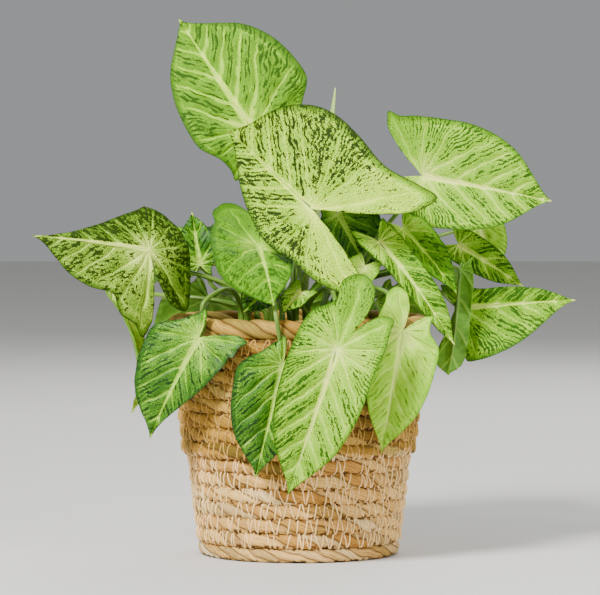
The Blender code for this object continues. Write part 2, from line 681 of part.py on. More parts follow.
def make_rolled_leaf(socket):
    """New leaf still rolled to a point, on its own petiole, as one tapering stem."""
    foot = Vector((socket.x, socket.y, SOIL_LEVEL + CROWN_RISE - SOCKET_DEPTH + GAP))
    neck = Vector((socket.x, socket.y, SOIL_LEVEL + CROWN_RISE + NECK_RISE))
    route = smooth_route([foot, neck] + [mm(*point) for point in ROLLED_STOPS], TUBE_SPACING)
    swell = mm(*ROLLED_STOPS[-2]).z
    radii = []
    for place in route:
        if place.z < swell:
            share = max(0.0, (place.z - mm(*ROLLED_STOPS[0]).z) / (swell - mm(*ROLLED_STOPS[0]).z))
            radii.append(PETIOLE_HEAD + (ROLLED_RADIUS - PETIOLE_HEAD) * share)
        else:
            share = (place.z - swell) / (route[-1].z - swell)
            radii.append(ROLLED_RADIUS + (ROLLED_TIP - ROLLED_RADIUS) * share ** 2)
    return make_tube("leaf_rolled", route, radii, PLAIN_LEAF)


make_basket_lower()
make_basket_upper()
make_nursery_pot()
make_soil(CROWNS)
for number, crown_centre in enumerate(CROWNS):
    grown = [leaf for leaf in LEAVES if leaf.crown == number]
    goals = [mm(*(leaf.via[0] if leaf.via else leaf.at)) for leaf in grown]
    if number == ROLLED_CROWN:
        goals.append(mm(*ROLLED_STOPS[0]))
    crown_sockets = make_crown("crown_%d" % (number + 1), crown_centre, len(goals))
    matched = match_sockets(crown_centre, crown_sockets, goals)
    for leaf, leaf_socket in zip(grown, matched):
        leaf_frame = LeafFrame(leaf)
        leaf_blade = make_blade(leaf, leaf_frame)
        boolean(leaf_blade, make_petiole(leaf, leaf_frame, leaf_socket), "UNION", "MANIFOLD")
        tidy_seam(leaf_blade)
    if number == ROLLED_CROWN:
        make_rolled_leaf(matched[-1])
for piece in PARTS.objects:
    piece.data.shade_smooth()
    piece.data.set_sharp_from_angle(angle=math.radians(40))
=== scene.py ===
"""Looks of a potted arrowhead plant that grows in a basket planter of coiled rope.

Metres, +Z up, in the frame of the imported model: the origin is the middle of the basket's underside
and the side that is seen first faces -Y. Leaves and crowns are placed by points in millimetres.
"""
import logging
import math
import random
from collections.abc import Callable, Sequence
from dataclasses import dataclass, field, replace
from enum import Enum

import bmesh
import bpy
from mathutils import Matrix, Vector, noise


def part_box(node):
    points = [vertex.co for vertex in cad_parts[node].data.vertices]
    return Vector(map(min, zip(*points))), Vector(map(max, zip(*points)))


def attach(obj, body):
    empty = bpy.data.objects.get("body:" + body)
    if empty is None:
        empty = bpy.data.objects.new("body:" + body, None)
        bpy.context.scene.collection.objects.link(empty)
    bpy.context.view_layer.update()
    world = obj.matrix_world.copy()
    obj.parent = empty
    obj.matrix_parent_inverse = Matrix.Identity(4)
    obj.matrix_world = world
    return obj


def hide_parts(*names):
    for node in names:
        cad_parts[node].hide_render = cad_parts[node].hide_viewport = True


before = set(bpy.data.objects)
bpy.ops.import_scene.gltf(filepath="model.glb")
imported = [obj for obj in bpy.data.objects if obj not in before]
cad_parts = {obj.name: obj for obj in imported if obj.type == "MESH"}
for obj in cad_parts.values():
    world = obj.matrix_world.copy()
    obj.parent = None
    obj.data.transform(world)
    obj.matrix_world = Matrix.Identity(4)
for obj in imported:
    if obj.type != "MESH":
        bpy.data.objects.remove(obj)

log = logging.getLogger("potted_arrowhead_plant")

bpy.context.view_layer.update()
MILLIMETRE = 0.001
# Centimetres in a metre: the UV maps are laid out in centimetres
CENTIMETRES = 100
MERGE_DISTANCE = 1e-6
SHARP_ANGLE = 40.0
# A display's levels, and the curve by which it shows them
LEVELS = 255
TOE = 0.04045
TOE_SLOPE = 12.92
SHIFT = 0.055
POWER = 2.4

Place = Callable[[int, int], Vector]
Colour = tuple[float, ...]
Point = tuple[float, float, float]
Pair = tuple[float, float]
# Scale of a noise, and its detail and roughness where they aren't the usual ones
Grain = tuple[float, ...]
Chart = Callable[[int, int, int], dict[str, Pair]]
Piece = bpy.types.Object
Material = bpy.types.Material
Socket = bpy.types.NodeSocket


def mm(x: float, y: float, z: float) -> Vector:
    """Point in metres from its coordinates in millimetres."""
    return Vector((x, y, z)) * MILLIMETRE


def tone(red: int, green: int, blue: int) -> Colour:
    """Linear colour from red, green and blue on a display's scale of levels.

    Args:
        red: Level of red.
        green: Level of green.
        blue: Level of blue.

    Returns:
        The colour with full opacity.
    """
    def linear(level: int) -> float:
        """One channel in linear light."""
        share = level / LEVELS
        return share / TOE_SLOPE if share <= TOE else ((share + SHIFT) / (1 + SHIFT)) ** POWER
    return linear(red), linear(green), linear(blue), 1.0


def mixed(low: float, high: float, share: float) -> float:
    """Value at a share of the way from low to high."""
    return low + (high - low) * share


def eased(low: float, high: float, value: float) -> float:
    """Smooth step from 0 at low to 1 at high."""
    share = max(0.0, min(1.0, (value - low) / (high - low)))
    return share * share * (3 - 2 * share)


def ring_point(radius: float, angle: float, height: float) -> Vector:
    """Point at a radius and an angle round the Z axis, at a height."""
    return Vector((radius * math.cos(angle), radius * math.sin(angle), height))


# Mesh tools

def add_piece(name: str, bm: bmesh.types.BMesh, materials: Sequence[Material]) -> Piece:
    """Turn a bmesh into a named object with its materials, and free it.

    Args:
        name: Name of the object and its mesh.
        bm: The finished shape, in its place.
        materials: Materials in the order of the mesh's material slots.

    Returns:
        The new object, at the origin.
    """
    mesh = bpy.data.meshes.new(name)
    bm.to_mesh(mesh)
    bm.free()
    for finish in materials:
        mesh.materials.append(finish)
    made = bpy.data.objects.new(name, mesh)
    bpy.context.scene.collection.objects.link(made)
    return made


def formed(name: str, columns: int, rows: int, place: Place, materials: Sequence[Material],
           chart: Chart | None = None, turn_out: bool = False) -> Piece:
    """Piece from a grid whose vertices a rule moves, with the edges that meet merged.

    Args:
        name: Name of the piece.
        columns: Faces along the grid's first way.
        rows: Faces along its second way.
        place: Gives the place of the vertex at a column and a row.
        materials: Materials of the piece.
        chart: Gives the UV maps' values by name, at a column and a row of a face's row.
        turn_out: Whether the faces of the closed shape still have to be turned outwards.

    Returns:
        The new piece, shaded smooth.
    """
    bm = bmesh.new()
    bmesh.ops.create_grid(bm, x_segments=columns, y_segments=rows, size=1.0)
    spots = {vertex: (round((vertex.co.x + 1) / 2 * columns), round((vertex.co.y + 1) / 2 * rows))
             for vertex in bm.verts}
    layers = [(label, bm.loops.layers.uv.new(label)) for label in (chart(0, 0, 0) if chart else ())]
    for face in bm.faces:
        face.smooth = True
        face_row = min(spots[vertex][1] for vertex in face.verts)
        for loop in face.loops if layers else ():
            values = chart(*spots[loop.vert], face_row)
            for label, layer in layers:
                loop[layer].uv = values[label]
    for vertex, (column, row) in spots.items():
        vertex.co = place(column, row)
    bmesh.ops.remove_doubles(bm, verts=bm.verts, dist=MERGE_DISTANCE)
    if turn_out:
        bmesh.ops.recalc_face_normals(bm, faces=bm.faces)
    return add_piece(name, bm, materials)


def bake(piece: Piece, sharp_angle: float) -> Piece:
    """Replace a piece's mesh by what its modifiers make of it.

    Args:
        piece: Piece with live modifiers.
        sharp_angle: Edges that turn by more degrees than this stay sharp.

    Returns:
        The same piece.
    """
    graph = bpy.context.evaluated_depsgraph_get()
    baked = bpy.data.meshes.new_from_object(piece.evaluated_get(graph))
    baked.name = piece.name
    piece.modifiers.clear()
    piece.data = baked
    baked.set_sharp_from_angle(angle=math.radians(sharp_angle))
    return piece


def spun(name: str, profile: Sequence[Pair], steps: int, finish: Material) -> Piece:
    """Turned piece from a profile that is spun round the Z axis.

    Args:
        name: Name of the piece.
        profile: Its (radius, height) points, from the axis and back to it.
        steps: Faces round it.
        finish: Material of the piece.

    Returns:
        The new piece, smooth but for its sharp edges.
    """
    bm = bmesh.new()
    points = [bm.verts.new((radius, 0.0, height)) for radius, height in profile]
    edges = [bm.edges.new(pair) for pair in zip(points, points[1:])]
    bmesh.ops.spin(bm, geom=points + edges, cent=(0, 0, 0), axis=(0, 0, 1), dvec=(0, 0, 0),
                   angle=math.tau, steps=steps, use_merge=True)
    bmesh.ops.remove_doubles(bm, verts=bm.verts, dist=MERGE_DISTANCE)
    bmesh.ops.recalc_face_normals(bm, faces=bm.faces)
    for face in bm.faces:
        face.smooth = True
    piece = add_piece(name, bm, [finish])
    piece.data.set_sharp_from_angle(angle=math.radians(SHARP_ANGLE))
    return piece


def dress(piece: Piece, slot: str, *nodes: str) -> None:
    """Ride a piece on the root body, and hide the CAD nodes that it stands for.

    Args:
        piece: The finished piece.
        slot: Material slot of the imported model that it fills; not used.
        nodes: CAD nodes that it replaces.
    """
    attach(piece, "root")
    if nodes:
        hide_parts(*nodes)


# Curves

def heading(points: Sequence[Vector], index: int) -> Vector:
    """Direction of a smooth curve as it passes one of its points.

    Args:
        points: Points of the curve.
        index: Which of them.

    Returns:
        The direction, per unit of length.
    """
    before, after = points[max(index - 1, 0)], points[min(index + 1, len(points) - 1)]
    here = points[index]
    if 0 < index < len(points) - 1:
        back, ahead = (here - before).length, (after - here).length
        return ((here - before) * (ahead / back) + (after - here) * (back / ahead)) / (back + ahead)
    return (after - before) / (after - before).length


def spline_point(points: Sequence[Vector], share: float) -> Vector:
    """Point of a smooth curve through points.

    Args:
        points: Points that the curve passes.
        share: Share of its spans, 0 at the first point and 1 at the last.

    Returns:
        The point there.
    """
    spans = len(points) - 1
    place = min(share, 1.0) * spans
    index = min(int(place), spans - 1)
    t = place - index
    start, end = points[index], points[index + 1]
    reach = (end - start).length
    leave, arrive = heading(points, index) * reach, heading(points, index + 1) * reach
    return (start * (2 * t ** 3 - 3 * t ** 2 + 1) + leave * (t ** 3 - 2 * t ** 2 + t)
            + end * (3 * t ** 2 - 2 * t ** 3) + arrive * (t ** 3 - t ** 2))


def smooth_route(points: Sequence[Vector], spacing: float) -> list[Vector]:
    """Points along a smooth curve.

    Args:
        points: Points that the curve passes.
        spacing: Distance from one point of the route to the next, about.

    Returns:
        The route, from the first point to the last.
    """
    route = []
    spans = len(points) - 1
    for span in range(spans):
        steps = max(1, round((points[span + 1] - points[span]).length / spacing))
        for step in range(steps):
            route.append(spline_point(points, (span + step / steps) / spans))
    route.append(points[-1])
    return route


def arc(distance: float, start: float, rate: float) -> Pair:
    """Run of a path whose slope turns at a steady rate.

    Args:
        distance: Length of the path.
        start: Its slope at the start, in radians.
        rate: Turn per unit of length.

    Returns:
        Its sideways and its upward run.
    """
    if abs(rate) < MERGE_DISTANCE:
        return distance * math.cos(start), distance * math.sin(start)
    end = start + rate * distance
    return (math.sin(end) - math.sin(start)) / rate, (math.cos(start) - math.cos(end)) / rate


# Width of a stem's UV map round it
STEM_CHART_WIDTH = 0.8


def tube(name: str, route: Sequence[Vector], radii: Sequence[float], sides: int,
         materials: Sequence[Material]) -> Piece:
    """Round stem along a route, closed to a point at both ends.

    Args:
        name: Name of the piece.
        route: Points of its centre line.
        radii: Radius at each point.
        sides: Faces round it.
        materials: Materials of the piece.

    Returns:
        The new piece, with the UV map "stem" along and round it in centimetres.
    """
    axes, lengths = [], [0.0]
    across = (route[1] - route[0]).orthogonal()
    for index, point in enumerate(route):
        ahead = route[min(index + 1, len(route) - 1)] - route[max(index - 1, 0)]
        ahead.normalize()
        across = (across - ahead * across.dot(ahead)).normalized()
        axes.append((across, ahead.cross(across)))
        if index:
            lengths.append(lengths[-1] + (point - route[index - 1]).length)

    def place(column: int, row: int) -> Vector:
        """Vertex on the stem's ring, or on its end point.

        Args:
            column: Point of the route, with one more at each end.
            row: Side of the stem.

        Returns:
            The vertex's place.
        """
        index = min(max(column - 1, 0), len(route) - 1)
        if column in (0, len(route) + 1):
            return route[index]
        first, second = axes[index]
        angle = math.tau * (row % sides) / sides
        return route[index] + (first * math.cos(angle) + second * math.sin(angle)) * radii[index]

    def chart(column: int, row: int, _: int) -> dict[str, Pair]:
        """Length along the stem, and distance round it."""
        length = lengths[min(max(column - 1, 0), len(route) - 1)] * CENTIMETRES
        return {"stem": (length, STEM_CHART_WIDTH * row / sides)}

    return formed(name, len(route) + 1, sides, place, materials, chart)


# Shader tools

# How deep light goes into leaf tissue in all and in its red, green and blue
TISSUE_DEPTH = 0.0015
TISSUE_COLOURS = (0.5, 1.0, 0.2)


class Shader:
    """Builds one material's node tree with short calls."""

    def __init__(self, name: str) -> None:
        """Start a Principled material.

        Args:
            name: Name of the material.
        """
        self.material = bpy.data.materials.new(name)
        self.material.use_nodes = True
        self.tree = self.material.node_tree
        self.surface = self.tree.nodes["Principled BSDF"]

    def feed(self, socket: Socket, value: object) -> None:
        """Link a socket to another one, or set its value.

        Args:
            socket: Input to be fed.
            value: An output socket, a number, a colour or a vector.
        """
        if isinstance(value, Socket):
            self.tree.links.new(value, socket)
        else:
            socket.default_value = value

    def node(self, kind: str, inputs: dict[str | int, object] | None = None,
             **settings: object) -> bpy.types.Node:
        """Add a node.

        Args:
            kind: Blender's name for the kind of node.
            inputs: What its inputs are fed with, by name or number.
            settings: Its properties.

        Returns:
            The node.
        """
        made = self.tree.nodes.new(kind)
        for label, value in settings.items():
            setattr(made, label, value)
        for key, value in (inputs or {}).items():
            self.feed(made.inputs[key], value)
        return made

    def math(self, operation: str, first: object, second: object = 0.0) -> Socket:
        """Result of a Math node on two values."""
        return self.node("ShaderNodeMath", {0: first, 1: second}, operation=operation).outputs[0]

    def times(self, first: object, second: object) -> Socket:
        """Product of two values."""
        return self.math("MULTIPLY", first, second)

    def plus(self, first: object, second: object) -> Socket:
        """Sum of two values."""
        return self.math("ADD", first, second)

    def minus(self, first: object, second: object) -> Socket:
        """First value less the second."""
        return self.math("SUBTRACT", first, second)

    def step(self, value: object, low: object, high: object, start: object = 0.0,
             end: object = 1.0) -> Socket:
        """Smooth step.

        Args:
            value: The value that is read.
            low: Where the step starts.
            high: Where it ends; it may be below low.
            start: Result up to low.
            end: Result from high on.

        Returns:
            The result.
        """
        given = {"Value": value, "From Min": low, "From Max": high, "To Min": start, "To Max": end}
        return self.node("ShaderNodeMapRange", given, interpolation_type="SMOOTHSTEP").outputs[0]

    def blend(self, share: object, first: object, second: object, way: str = "MIX") -> Socket:
        """Mix of two colours.

        Args:
            share: How much of the second colour comes in.
            first: The first colour.
            second: The second colour.
            way: How they are mixed.

        Returns:
            The mixed colour.
        """
        made = self.node("ShaderNodeMix", {"Factor": share, "A": first, "B": second},
                         data_type="RGBA", blend_type=way, clamp_factor=True)
        for output in made.outputs:
            if output.type == "RGBA":
                return output
        raise LookupError("the Mix node has no colour output")

    def shaded(self, colour: object, shade: Socket) -> Socket:
        """Colour times a shade."""
        return self.blend(1.0, colour, self.join(shade, shade, shade), "MULTIPLY")

    def uv(self, name: str) -> Socket:
        """Coordinates of a UV map of the piece."""
        return self.node("ShaderNodeUVMap", uv_map=name).outputs[0]

    def here(self) -> Socket:
        """Object coordinates."""
        return self.node("ShaderNodeTexCoord").outputs["Object"]

    def split(self, vector: Socket) -> bpy.types.bpy_prop_collection:
        """X, Y and Z of a vector."""
        return self.node("ShaderNodeSeparateXYZ", {0: vector}).outputs

    def join(self, x: object, y: object, z: object = 0.0) -> Socket:
        """Vector of three values."""
        return self.node("ShaderNodeCombineXYZ", {0: x, 1: y, 2: z}).outputs[0]

    def noise(self, vector: object, scale: float, detail: float = 2.0, roughness: float = 0.55) -> Socket:
        """Noise value at a vector.

        Args:
            vector: Where it is read.
            scale: Waves per unit.
            detail: How many finer layers are added.
            roughness: How strong each of them is against the one before.

        Returns:
            The value, mostly between 0.3 and 0.7.
        """
        given = {"Vector": vector, "Scale": scale, "Detail": detail, "Roughness": roughness}
        return self.node("ShaderNodeTexNoise", given).outputs[0]

    def swing(self, vector: object, grain: Grain) -> Socket:
        """Noise value that swings about 0."""
        return self.minus(self.noise(vector, *grain), 0.5)

    def drawn(self, along: Socket, across: Socket, grain: Grain) -> Socket:
        """Noise value that is drawn out along one way.

        Args:
            along: Place along the fibres.
            across: Place across them.
            grain: Waves per unit along and across, and the noise's detail and roughness.

        Returns:
            The value.
        """
        place = self.join(self.times(along, grain[0]), self.times(across, grain[1]))
        return self.noise(place, 1.0, *grain[2:])

    def dice(self, value: object) -> Socket:
        """Random value from 0 to 1 for each whole number."""
        return self.node("ShaderNodeTexWhiteNoise", {"W": value}, noise_dimensions="1D").outputs["Value"]

    def ramp(self, value: object, stops: Sequence[tuple[float, Colour]]) -> Socket:
        """Colour at a value.

        Args:
            value: The value that is read.
            stops: Place and colour of each stop, in rising order.

        Returns:
            The colour between the stops.
        """
        made = self.node("ShaderNodeValToRGB", {0: value})
        elements = made.color_ramp.elements
        while len(elements) < len(stops):
            elements.new(0.5)
        for element, (place, colour) in zip(elements, stops):
            element.position = place
            element.color = colour
        return made.outputs[0]

    def even_ramp(self, value: object, colours: Sequence[Colour]) -> Socket:
        """Colour at a value, between colours at even distances from 0 to 1."""
        last = len(colours) - 1
        return self.ramp(value, [(index / last, colour) for index, colour in enumerate(colours)])

    def bump(self, height: object, distance: float, strength: float) -> None:
        """Give the surface a bump.

        Args:
            height: Height in shares of the distance.
            distance: Real height of the bump in metres.
            strength: How much of it shows.
        """
        made = self.node("ShaderNodeBump", {"Height": height, "Distance": distance, "Strength": strength})
        self.feed(self.surface.inputs["Normal"], made.outputs[0])

    def tissue(self, weight: float) -> None:
        """Let some of the light into the surface, as leaves and stems do.

        Args:
            weight: Share of the light that goes in.
        """
        self.surface.inputs["Subsurface Weight"].default_value = weight
        self.surface.inputs["Subsurface Radius"].default_value = TISSUE_COLOURS
        self.surface.inputs["Subsurface Scale"].default_value = TISSUE_DEPTH

    def finish(self, colour: object, roughness: object, gloss: float) -> Material:
        """Set the surface's colour and shine.

        Args:
            colour: Colour, or the socket that gives it.
            roughness: Roughness, or the socket that gives it.
            gloss: Level of the mirror-like shine.

        Returns:
            The finished material.
        """
        self.feed(self.surface.inputs["Base Color"], colour)
        self.feed(self.surface.inputs["Roughness"], roughness)
        self.surface.inputs["Specular IOR Level"].default_value = gloss
        return self.material


# Finishes

# Band in which most values of a noise lie
NOISE_BAND = (0.3, 0.7)


class LeafStyle(Enum):
    """The seven patterns of leaf that the plant bears."""
    PALE = "pale_leaf"
    LIGHT = "light_leaf"
    FRESH = "fresh_leaf"
    SPECKLED = "speckled_leaf"
    MOTTLED = "mottled_leaf"
    PLAIN = "plain_leaf"
    DARK = "dark_leaf"

    @property
    def slot(self) -> str:
        """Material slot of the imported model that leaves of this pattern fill."""
        pale = LeafStyle.SPECKLED, LeafStyle.LIGHT, LeafStyle.FRESH
        return LeafStyle.PALE.value if self in pale else self.value


@dataclass(frozen=True)
class LeafFinish:
    """Upper side of a leaf: pale veins on green flesh, with rows of dark marks between the veins.

    level is the flesh's place on the scale of tones, 0 deep and 1 cream. The lifts raise it, and
    rim and lobe_shade lower it at the margin and in the lobes. coverage is how much of the flesh
    the marks take, the clears how far they keep off something, cluster how unevenly they lie, row
    how strictly they keep to rows along the side veins, and mark_grain how far fine grain breaks
    them up; crease is the dark line down the midrib, which is painted shade in its crease. Widths
    and lengths are in centimetres, noises in waves per centimetre. Bands run from where an effect
    starts to where it is full. edge_vein is the place, width and strength of the vein along the
    margin, and the reliefs are those of the grain, the twigs and the veins. The styles have the
    fields after gloss in common.
    """
    mark: Colour
    deep: Colour
    flesh: Colour
    vein: Colour
    cream: Colour
    level: float = 0.4
    vein_lift: float = 0.4
    midrib_lift: float = 0.6
    centre_lift: float = 0.4
    centre_reach: float = 0.3
    vein_width: float = 0.12
    midrib_width: float = 0.3
    rim: float = 0.35
    lobe_shade: float = 0.0
    lobe_clear: float = 0.1
    grain: float = 0.5
    patch: float = 0.5
    coverage: float = 0.44
    cluster: float = 0.25
    edge: float = 0.02
    halo: float = 0.6
    halo_reach: float = 0.07
    row: float = 0.3
    row_width: float = 0.22
    mark_length: float = 0.3
    mark_grain: float = 0.3
    crease: float = 0.12
    roughness: float = 0.6
    gloss: float = 0.1
    tone_stops: tuple[float, ...] = (0.0, 0.38, 0.68, 1.0)
    wander: float = 0.4
    wander_noise: Grain = (0.9, 1.0)
    grain_noise: Grain = (13.0, 2.0, 0.7)
    patch_noise: Grain = (1.1, 1.0)
    cluster_noise: Grain = (2.2, 1.0)
    row_noise: Grain = (1.0, 1.0, 0.5)
    vein_taper: float = 0.4
    vein_band: Pair = (0.97, 0.75)
    lobe_vein_band: Pair = (0.6, 0.0)
    lobe_vein_width: float = 2.0
    lobe_band: Pair = (1.4, 0.3)
    rim_band: Pair = (0.88, 0.98)
    twigs: float = 3.0
    twig_band: Pair = (0.14, 0.03)
    twig_share: float = 0.35
    edge_vein: Point = (0.87, 0.03, 0.4)
    midrib_tip: float = 0.06
    midrib_core: float = 0.3
    centre_core: float = 0.03
    clear_band: Pair = (2.6, 0.8)
    vein_clear: float = 0.16
    midrib_clear: float = 0.3
    tint_clear: float = 0.4
    edge_line_band: Pair = (0.97, 0.995)
    edge_line: float = 0.85
    # Band of the painted shade down the midrib's crease; crease is its strength
    crease_shade_band: Pair = (0.04, 0.012)
    reliefs: Point = (0.6, 0.5, 1.4)
    relief: Pair = (0.0004, 0.7)
    light_in: float = 0.1
    dull_band: Pair = (-0.3, 0.3)
    dull_grain: float = 0.1
    row_shift: float = 7.3

    def build(self, name: str) -> Material:
        """Make the material, which reads the UV maps veins, lay, flat, reach and tint.

        Args:
            name: Name of the material.

        Returns:
            The material.
        """
        g = Shader(name)
        across_veins, along_vein, _ = g.split(g.uv("veins"))
        spacing, run, _ = g.split(g.uv("lay"))
        flat = g.uv("flat")
        reach, off_midrib, _ = g.split(g.uv("reach"))
        tint, _, _ = g.split(g.uv("tint"))
        count = g.plus(across_veins, g.times(g.swing(flat, self.wander_noise), self.wander))
        gap = g.times(g.math("PINGPONG", count, 0.5), spacing)
        basal = g.step(g.math("ABSOLUTE", across_veins), *self.lobe_vein_band, 1.0, self.lobe_vein_width)
        width = g.step(along_vein, 0.0, 1.0, self.vein_width, self.vein_width * self.vein_taper)
        width = g.times(width, basal)
        core = g.times(g.step(gap, width, 0.0), g.step(along_vein, *self.vein_band))
        shield = g.step(gap, *(g.times(width, share) for share in self.clear_band))
        twig = g.times(g.math("PINGPONG", g.times(count, self.twigs), 0.5), spacing)
        twig = g.step(twig, *self.twig_band)
        edge, edge_width, edge_share = self.edge_vein
        edge_vein = g.step(g.math("ABSOLUTE", g.minus(along_vein, edge)), edge_width, 0.0)
        network = g.math("MAXIMUM", g.times(twig, self.twig_share), g.times(edge_vein, edge_share))
        network = g.math("MAXIMUM", network, core)
        midrib_width = g.step(reach, 0.0, 1.0, self.midrib_width, self.midrib_tip)
        midrib = g.step(off_midrib, midrib_width, g.times(midrib_width, self.midrib_core))
        centre = g.step(reach, self.centre_reach, self.centre_core)
        lobe = g.step(across_veins, *self.lobe_band)
        grain = g.swing(flat, self.grain_noise)
        score = g.plus(tint, self.level)
        for effect, lift in ((grain, self.grain), (g.swing(flat, self.patch_noise), self.patch),
                             (network, self.vein_lift), (midrib, self.midrib_lift),
                             (centre, self.centre_lift), (lobe, -self.lobe_shade)):
            score = g.plus(score, g.times(effect, lift))
        score = g.minus(score, g.step(along_vein, *self.rim_band, 0.0, self.rim))
        tones = self.deep, self.flesh, self.vein, self.cream
        colour = g.ramp(score, list(zip(self.tone_stops, tones)))
        streak = g.plus(self.streaks(g, count, spacing, run), g.times(grain, self.mark_grain))
        bound = g.plus(g.times(g.swing(flat, self.cluster_noise), self.cluster), self.coverage)
        for effect, clear in ((shield, self.vein_clear), (midrib, self.midrib_clear),
                              (g.math("MAXIMUM", centre, lobe), self.lobe_clear), (tint, self.tint_clear)):
            bound = g.minus(bound, g.times(effect, clear))
        halo = g.step(streak, g.plus(bound, self.halo_reach), bound, 0.0, self.halo)
        colour = g.blend(halo, colour, self.deep)
        # Darken towards mark: the marks, the margin's dark line and painted shade down the midrib's crease
        for share in (g.step(streak, bound, g.minus(bound, self.edge)),
                      g.step(along_vein, *self.edge_line_band, 0.0, self.edge_line),
                      g.step(off_midrib, *self.crease_shade_band, 0.0, self.crease)):
            colour = g.blend(share, colour, self.mark)
        grain_rise, twig_drop, vein_drop = self.reliefs
        height = g.minus(g.times(grain, grain_rise), g.times(twig, twig_drop))
        height = g.minus(height, g.times(g.math("MAXIMUM", core, midrib), vein_drop))
        g.bump(height, *self.relief)
        g.tissue(self.light_in)
        dull = g.step(grain, *self.dull_band, self.roughness, self.roughness + self.dull_grain)
        return g.finish(colour, dull, self.gloss)

    def streaks(self, g: Shader, count: Socket, spacing: Socket, run: Socket) -> Socket:
        """Noise drawn out along the side veins, of one size wherever they spread or close up.

        Args:
            g: The material's shader.
            count: Main veins counted from the lobe's own.
            spacing: Centimetres from one main vein to the next.
            run: Centimetres along the vein.

        Returns:
            The noise value.
        """
        octave = g.math("LOGARITHM", g.math("DIVIDE", spacing, self.row_width), 2.0)
        whole = g.math("FLOOR", octave)
        rows = g.times(count, g.math("POWER", 2.0, whole))
        length = g.math("DIVIDE", run, self.mark_length)
        draws = []
        for level, split in ((0.0, 1.0), (1.0, 2.0)):
            row = g.times(rows, split)
            place = g.join(g.times(row, 2.0), length, g.times(g.plus(whole, level), self.row_shift))
            off_row = g.minus(1.0, g.times(g.math("PINGPONG", row, 0.5), 2.0))
            draws.append(g.plus(g.times(g.noise(place, *self.row_noise), 1 - self.row),
                                g.times(off_row, self.row)))
        return g.step(g.minus(octave, whole), *NOISE_BAND, *draws)


LEAF_FINISHES = {
    LeafStyle.PALE: LeafFinish(
        mark=tone(44, 80, 8), deep=tone(70, 114, 12), flesh=tone(104, 156, 16), vein=tone(164, 212, 46),
        cream=tone(214, 238, 94), level=0.27, vein_width=0.26, vein_lift=0.42, midrib_width=0.36,
        midrib_lift=0.5, centre_lift=0.2, rim=0.4, grain=0.9, coverage=0.5, cluster=0.3, edge=0.04,
        halo=0.8, halo_reach=0.08, row=0.22, row_width=0.26, mark_length=0.4, mark_grain=0.4),
    LeafStyle.LIGHT: LeafFinish(
        mark=tone(44, 86, 6), deep=tone(92, 140, 14), flesh=tone(130, 182, 28), vein=tone(178, 220, 66),
        cream=tone(226, 242, 120), level=0.38, vein_width=0.2, vein_lift=0.35, midrib_width=0.28,
        centre_lift=0.2, lobe_shade=0.14, grain=1.1, patch=0.4, coverage=0.48,
        halo=0.4, row=0.32, row_width=0.19, mark_length=0.2, mark_grain=0.5),
    LeafStyle.FRESH: LeafFinish(
        mark=tone(48, 92, 8), deep=tone(68, 118, 8), flesh=tone(90, 146, 10), vein=tone(132, 186, 28),
        cream=tone(204, 236, 84), level=0.34, vein_width=0.14, vein_lift=0.34, midrib_width=0.24,
        centre_lift=0.3, centre_reach=0.45, rim=0.5, lobe_clear=0.14, grain=0.9,
        coverage=0.49, cluster=0.6, edge=0.05, row=0.14, row_width=0.24, mark_length=0.18, mark_grain=0.5),
    LeafStyle.SPECKLED: LeafFinish(
        mark=tone(32, 52, 2), deep=tone(80, 118, 10), flesh=tone(126, 175, 20), vein=tone(176, 218, 48),
        cream=tone(226, 246, 100), level=0.45, vein_width=0.18, vein_lift=0.25, midrib_lift=0.3,
        centre_lift=0.2, centre_reach=0.2, rim=0.5, lobe_shade=-0.16, lobe_clear=0.18, grain=1.6, patch=0.3,
        coverage=0.54, cluster=0.5, halo=0.5, halo_reach=0.05, row=0.24, row_width=0.25,
        mark_length=0.2, mark_grain=0.85, crease=0.55),
    LeafStyle.MOTTLED: LeafFinish(
        mark=tone(34, 54, 2), deep=tone(60, 92, 10), flesh=tone(98, 136, 24), vein=tone(154, 190, 56),
        cream=tone(216, 234, 114), level=0.24, vein_lift=0.36, midrib_width=0.2,
        centre_reach=0.36, rim=0.3, lobe_shade=-0.04, grain=1.5, coverage=0.56, cluster=0.4,
        edge=0.04, row=0.12, row_width=0.34, mark_length=0.17, mark_grain=0.5),
    LeafStyle.PLAIN: LeafFinish(
        mark=tone(84, 134, 14), deep=tone(114, 170, 18), flesh=tone(144, 200, 28), vein=tone(184, 226, 70),
        cream=tone(212, 238, 110), level=0.45, vein_width=0.14, vein_lift=0.3, midrib_lift=0.5,
        midrib_width=0.32, centre_lift=0.3, rim=0.2, grain=0.4, patch=0.6,
        coverage=0.36, edge=0.1, halo=0.8, halo_reach=0.14),
    LeafStyle.DARK: LeafFinish(
        mark=tone(18, 54, 2), deep=tone(38, 86, 6), flesh=tone(74, 128, 14), vein=tone(132, 184, 42),
        cream=tone(190, 224, 84), level=0.24, vein_width=0.16, midrib_width=0.26,
        midrib_lift=0.7, centre_lift=0.35, centre_reach=0.4, rim=0.3, grain=1.6, patch=0.9,
        coverage=0.47, cluster=0.4, edge=0.06, row_width=0.26, mark_length=0.36, mark_grain=0.5,
        roughness=0.42, gloss=0.2),
}


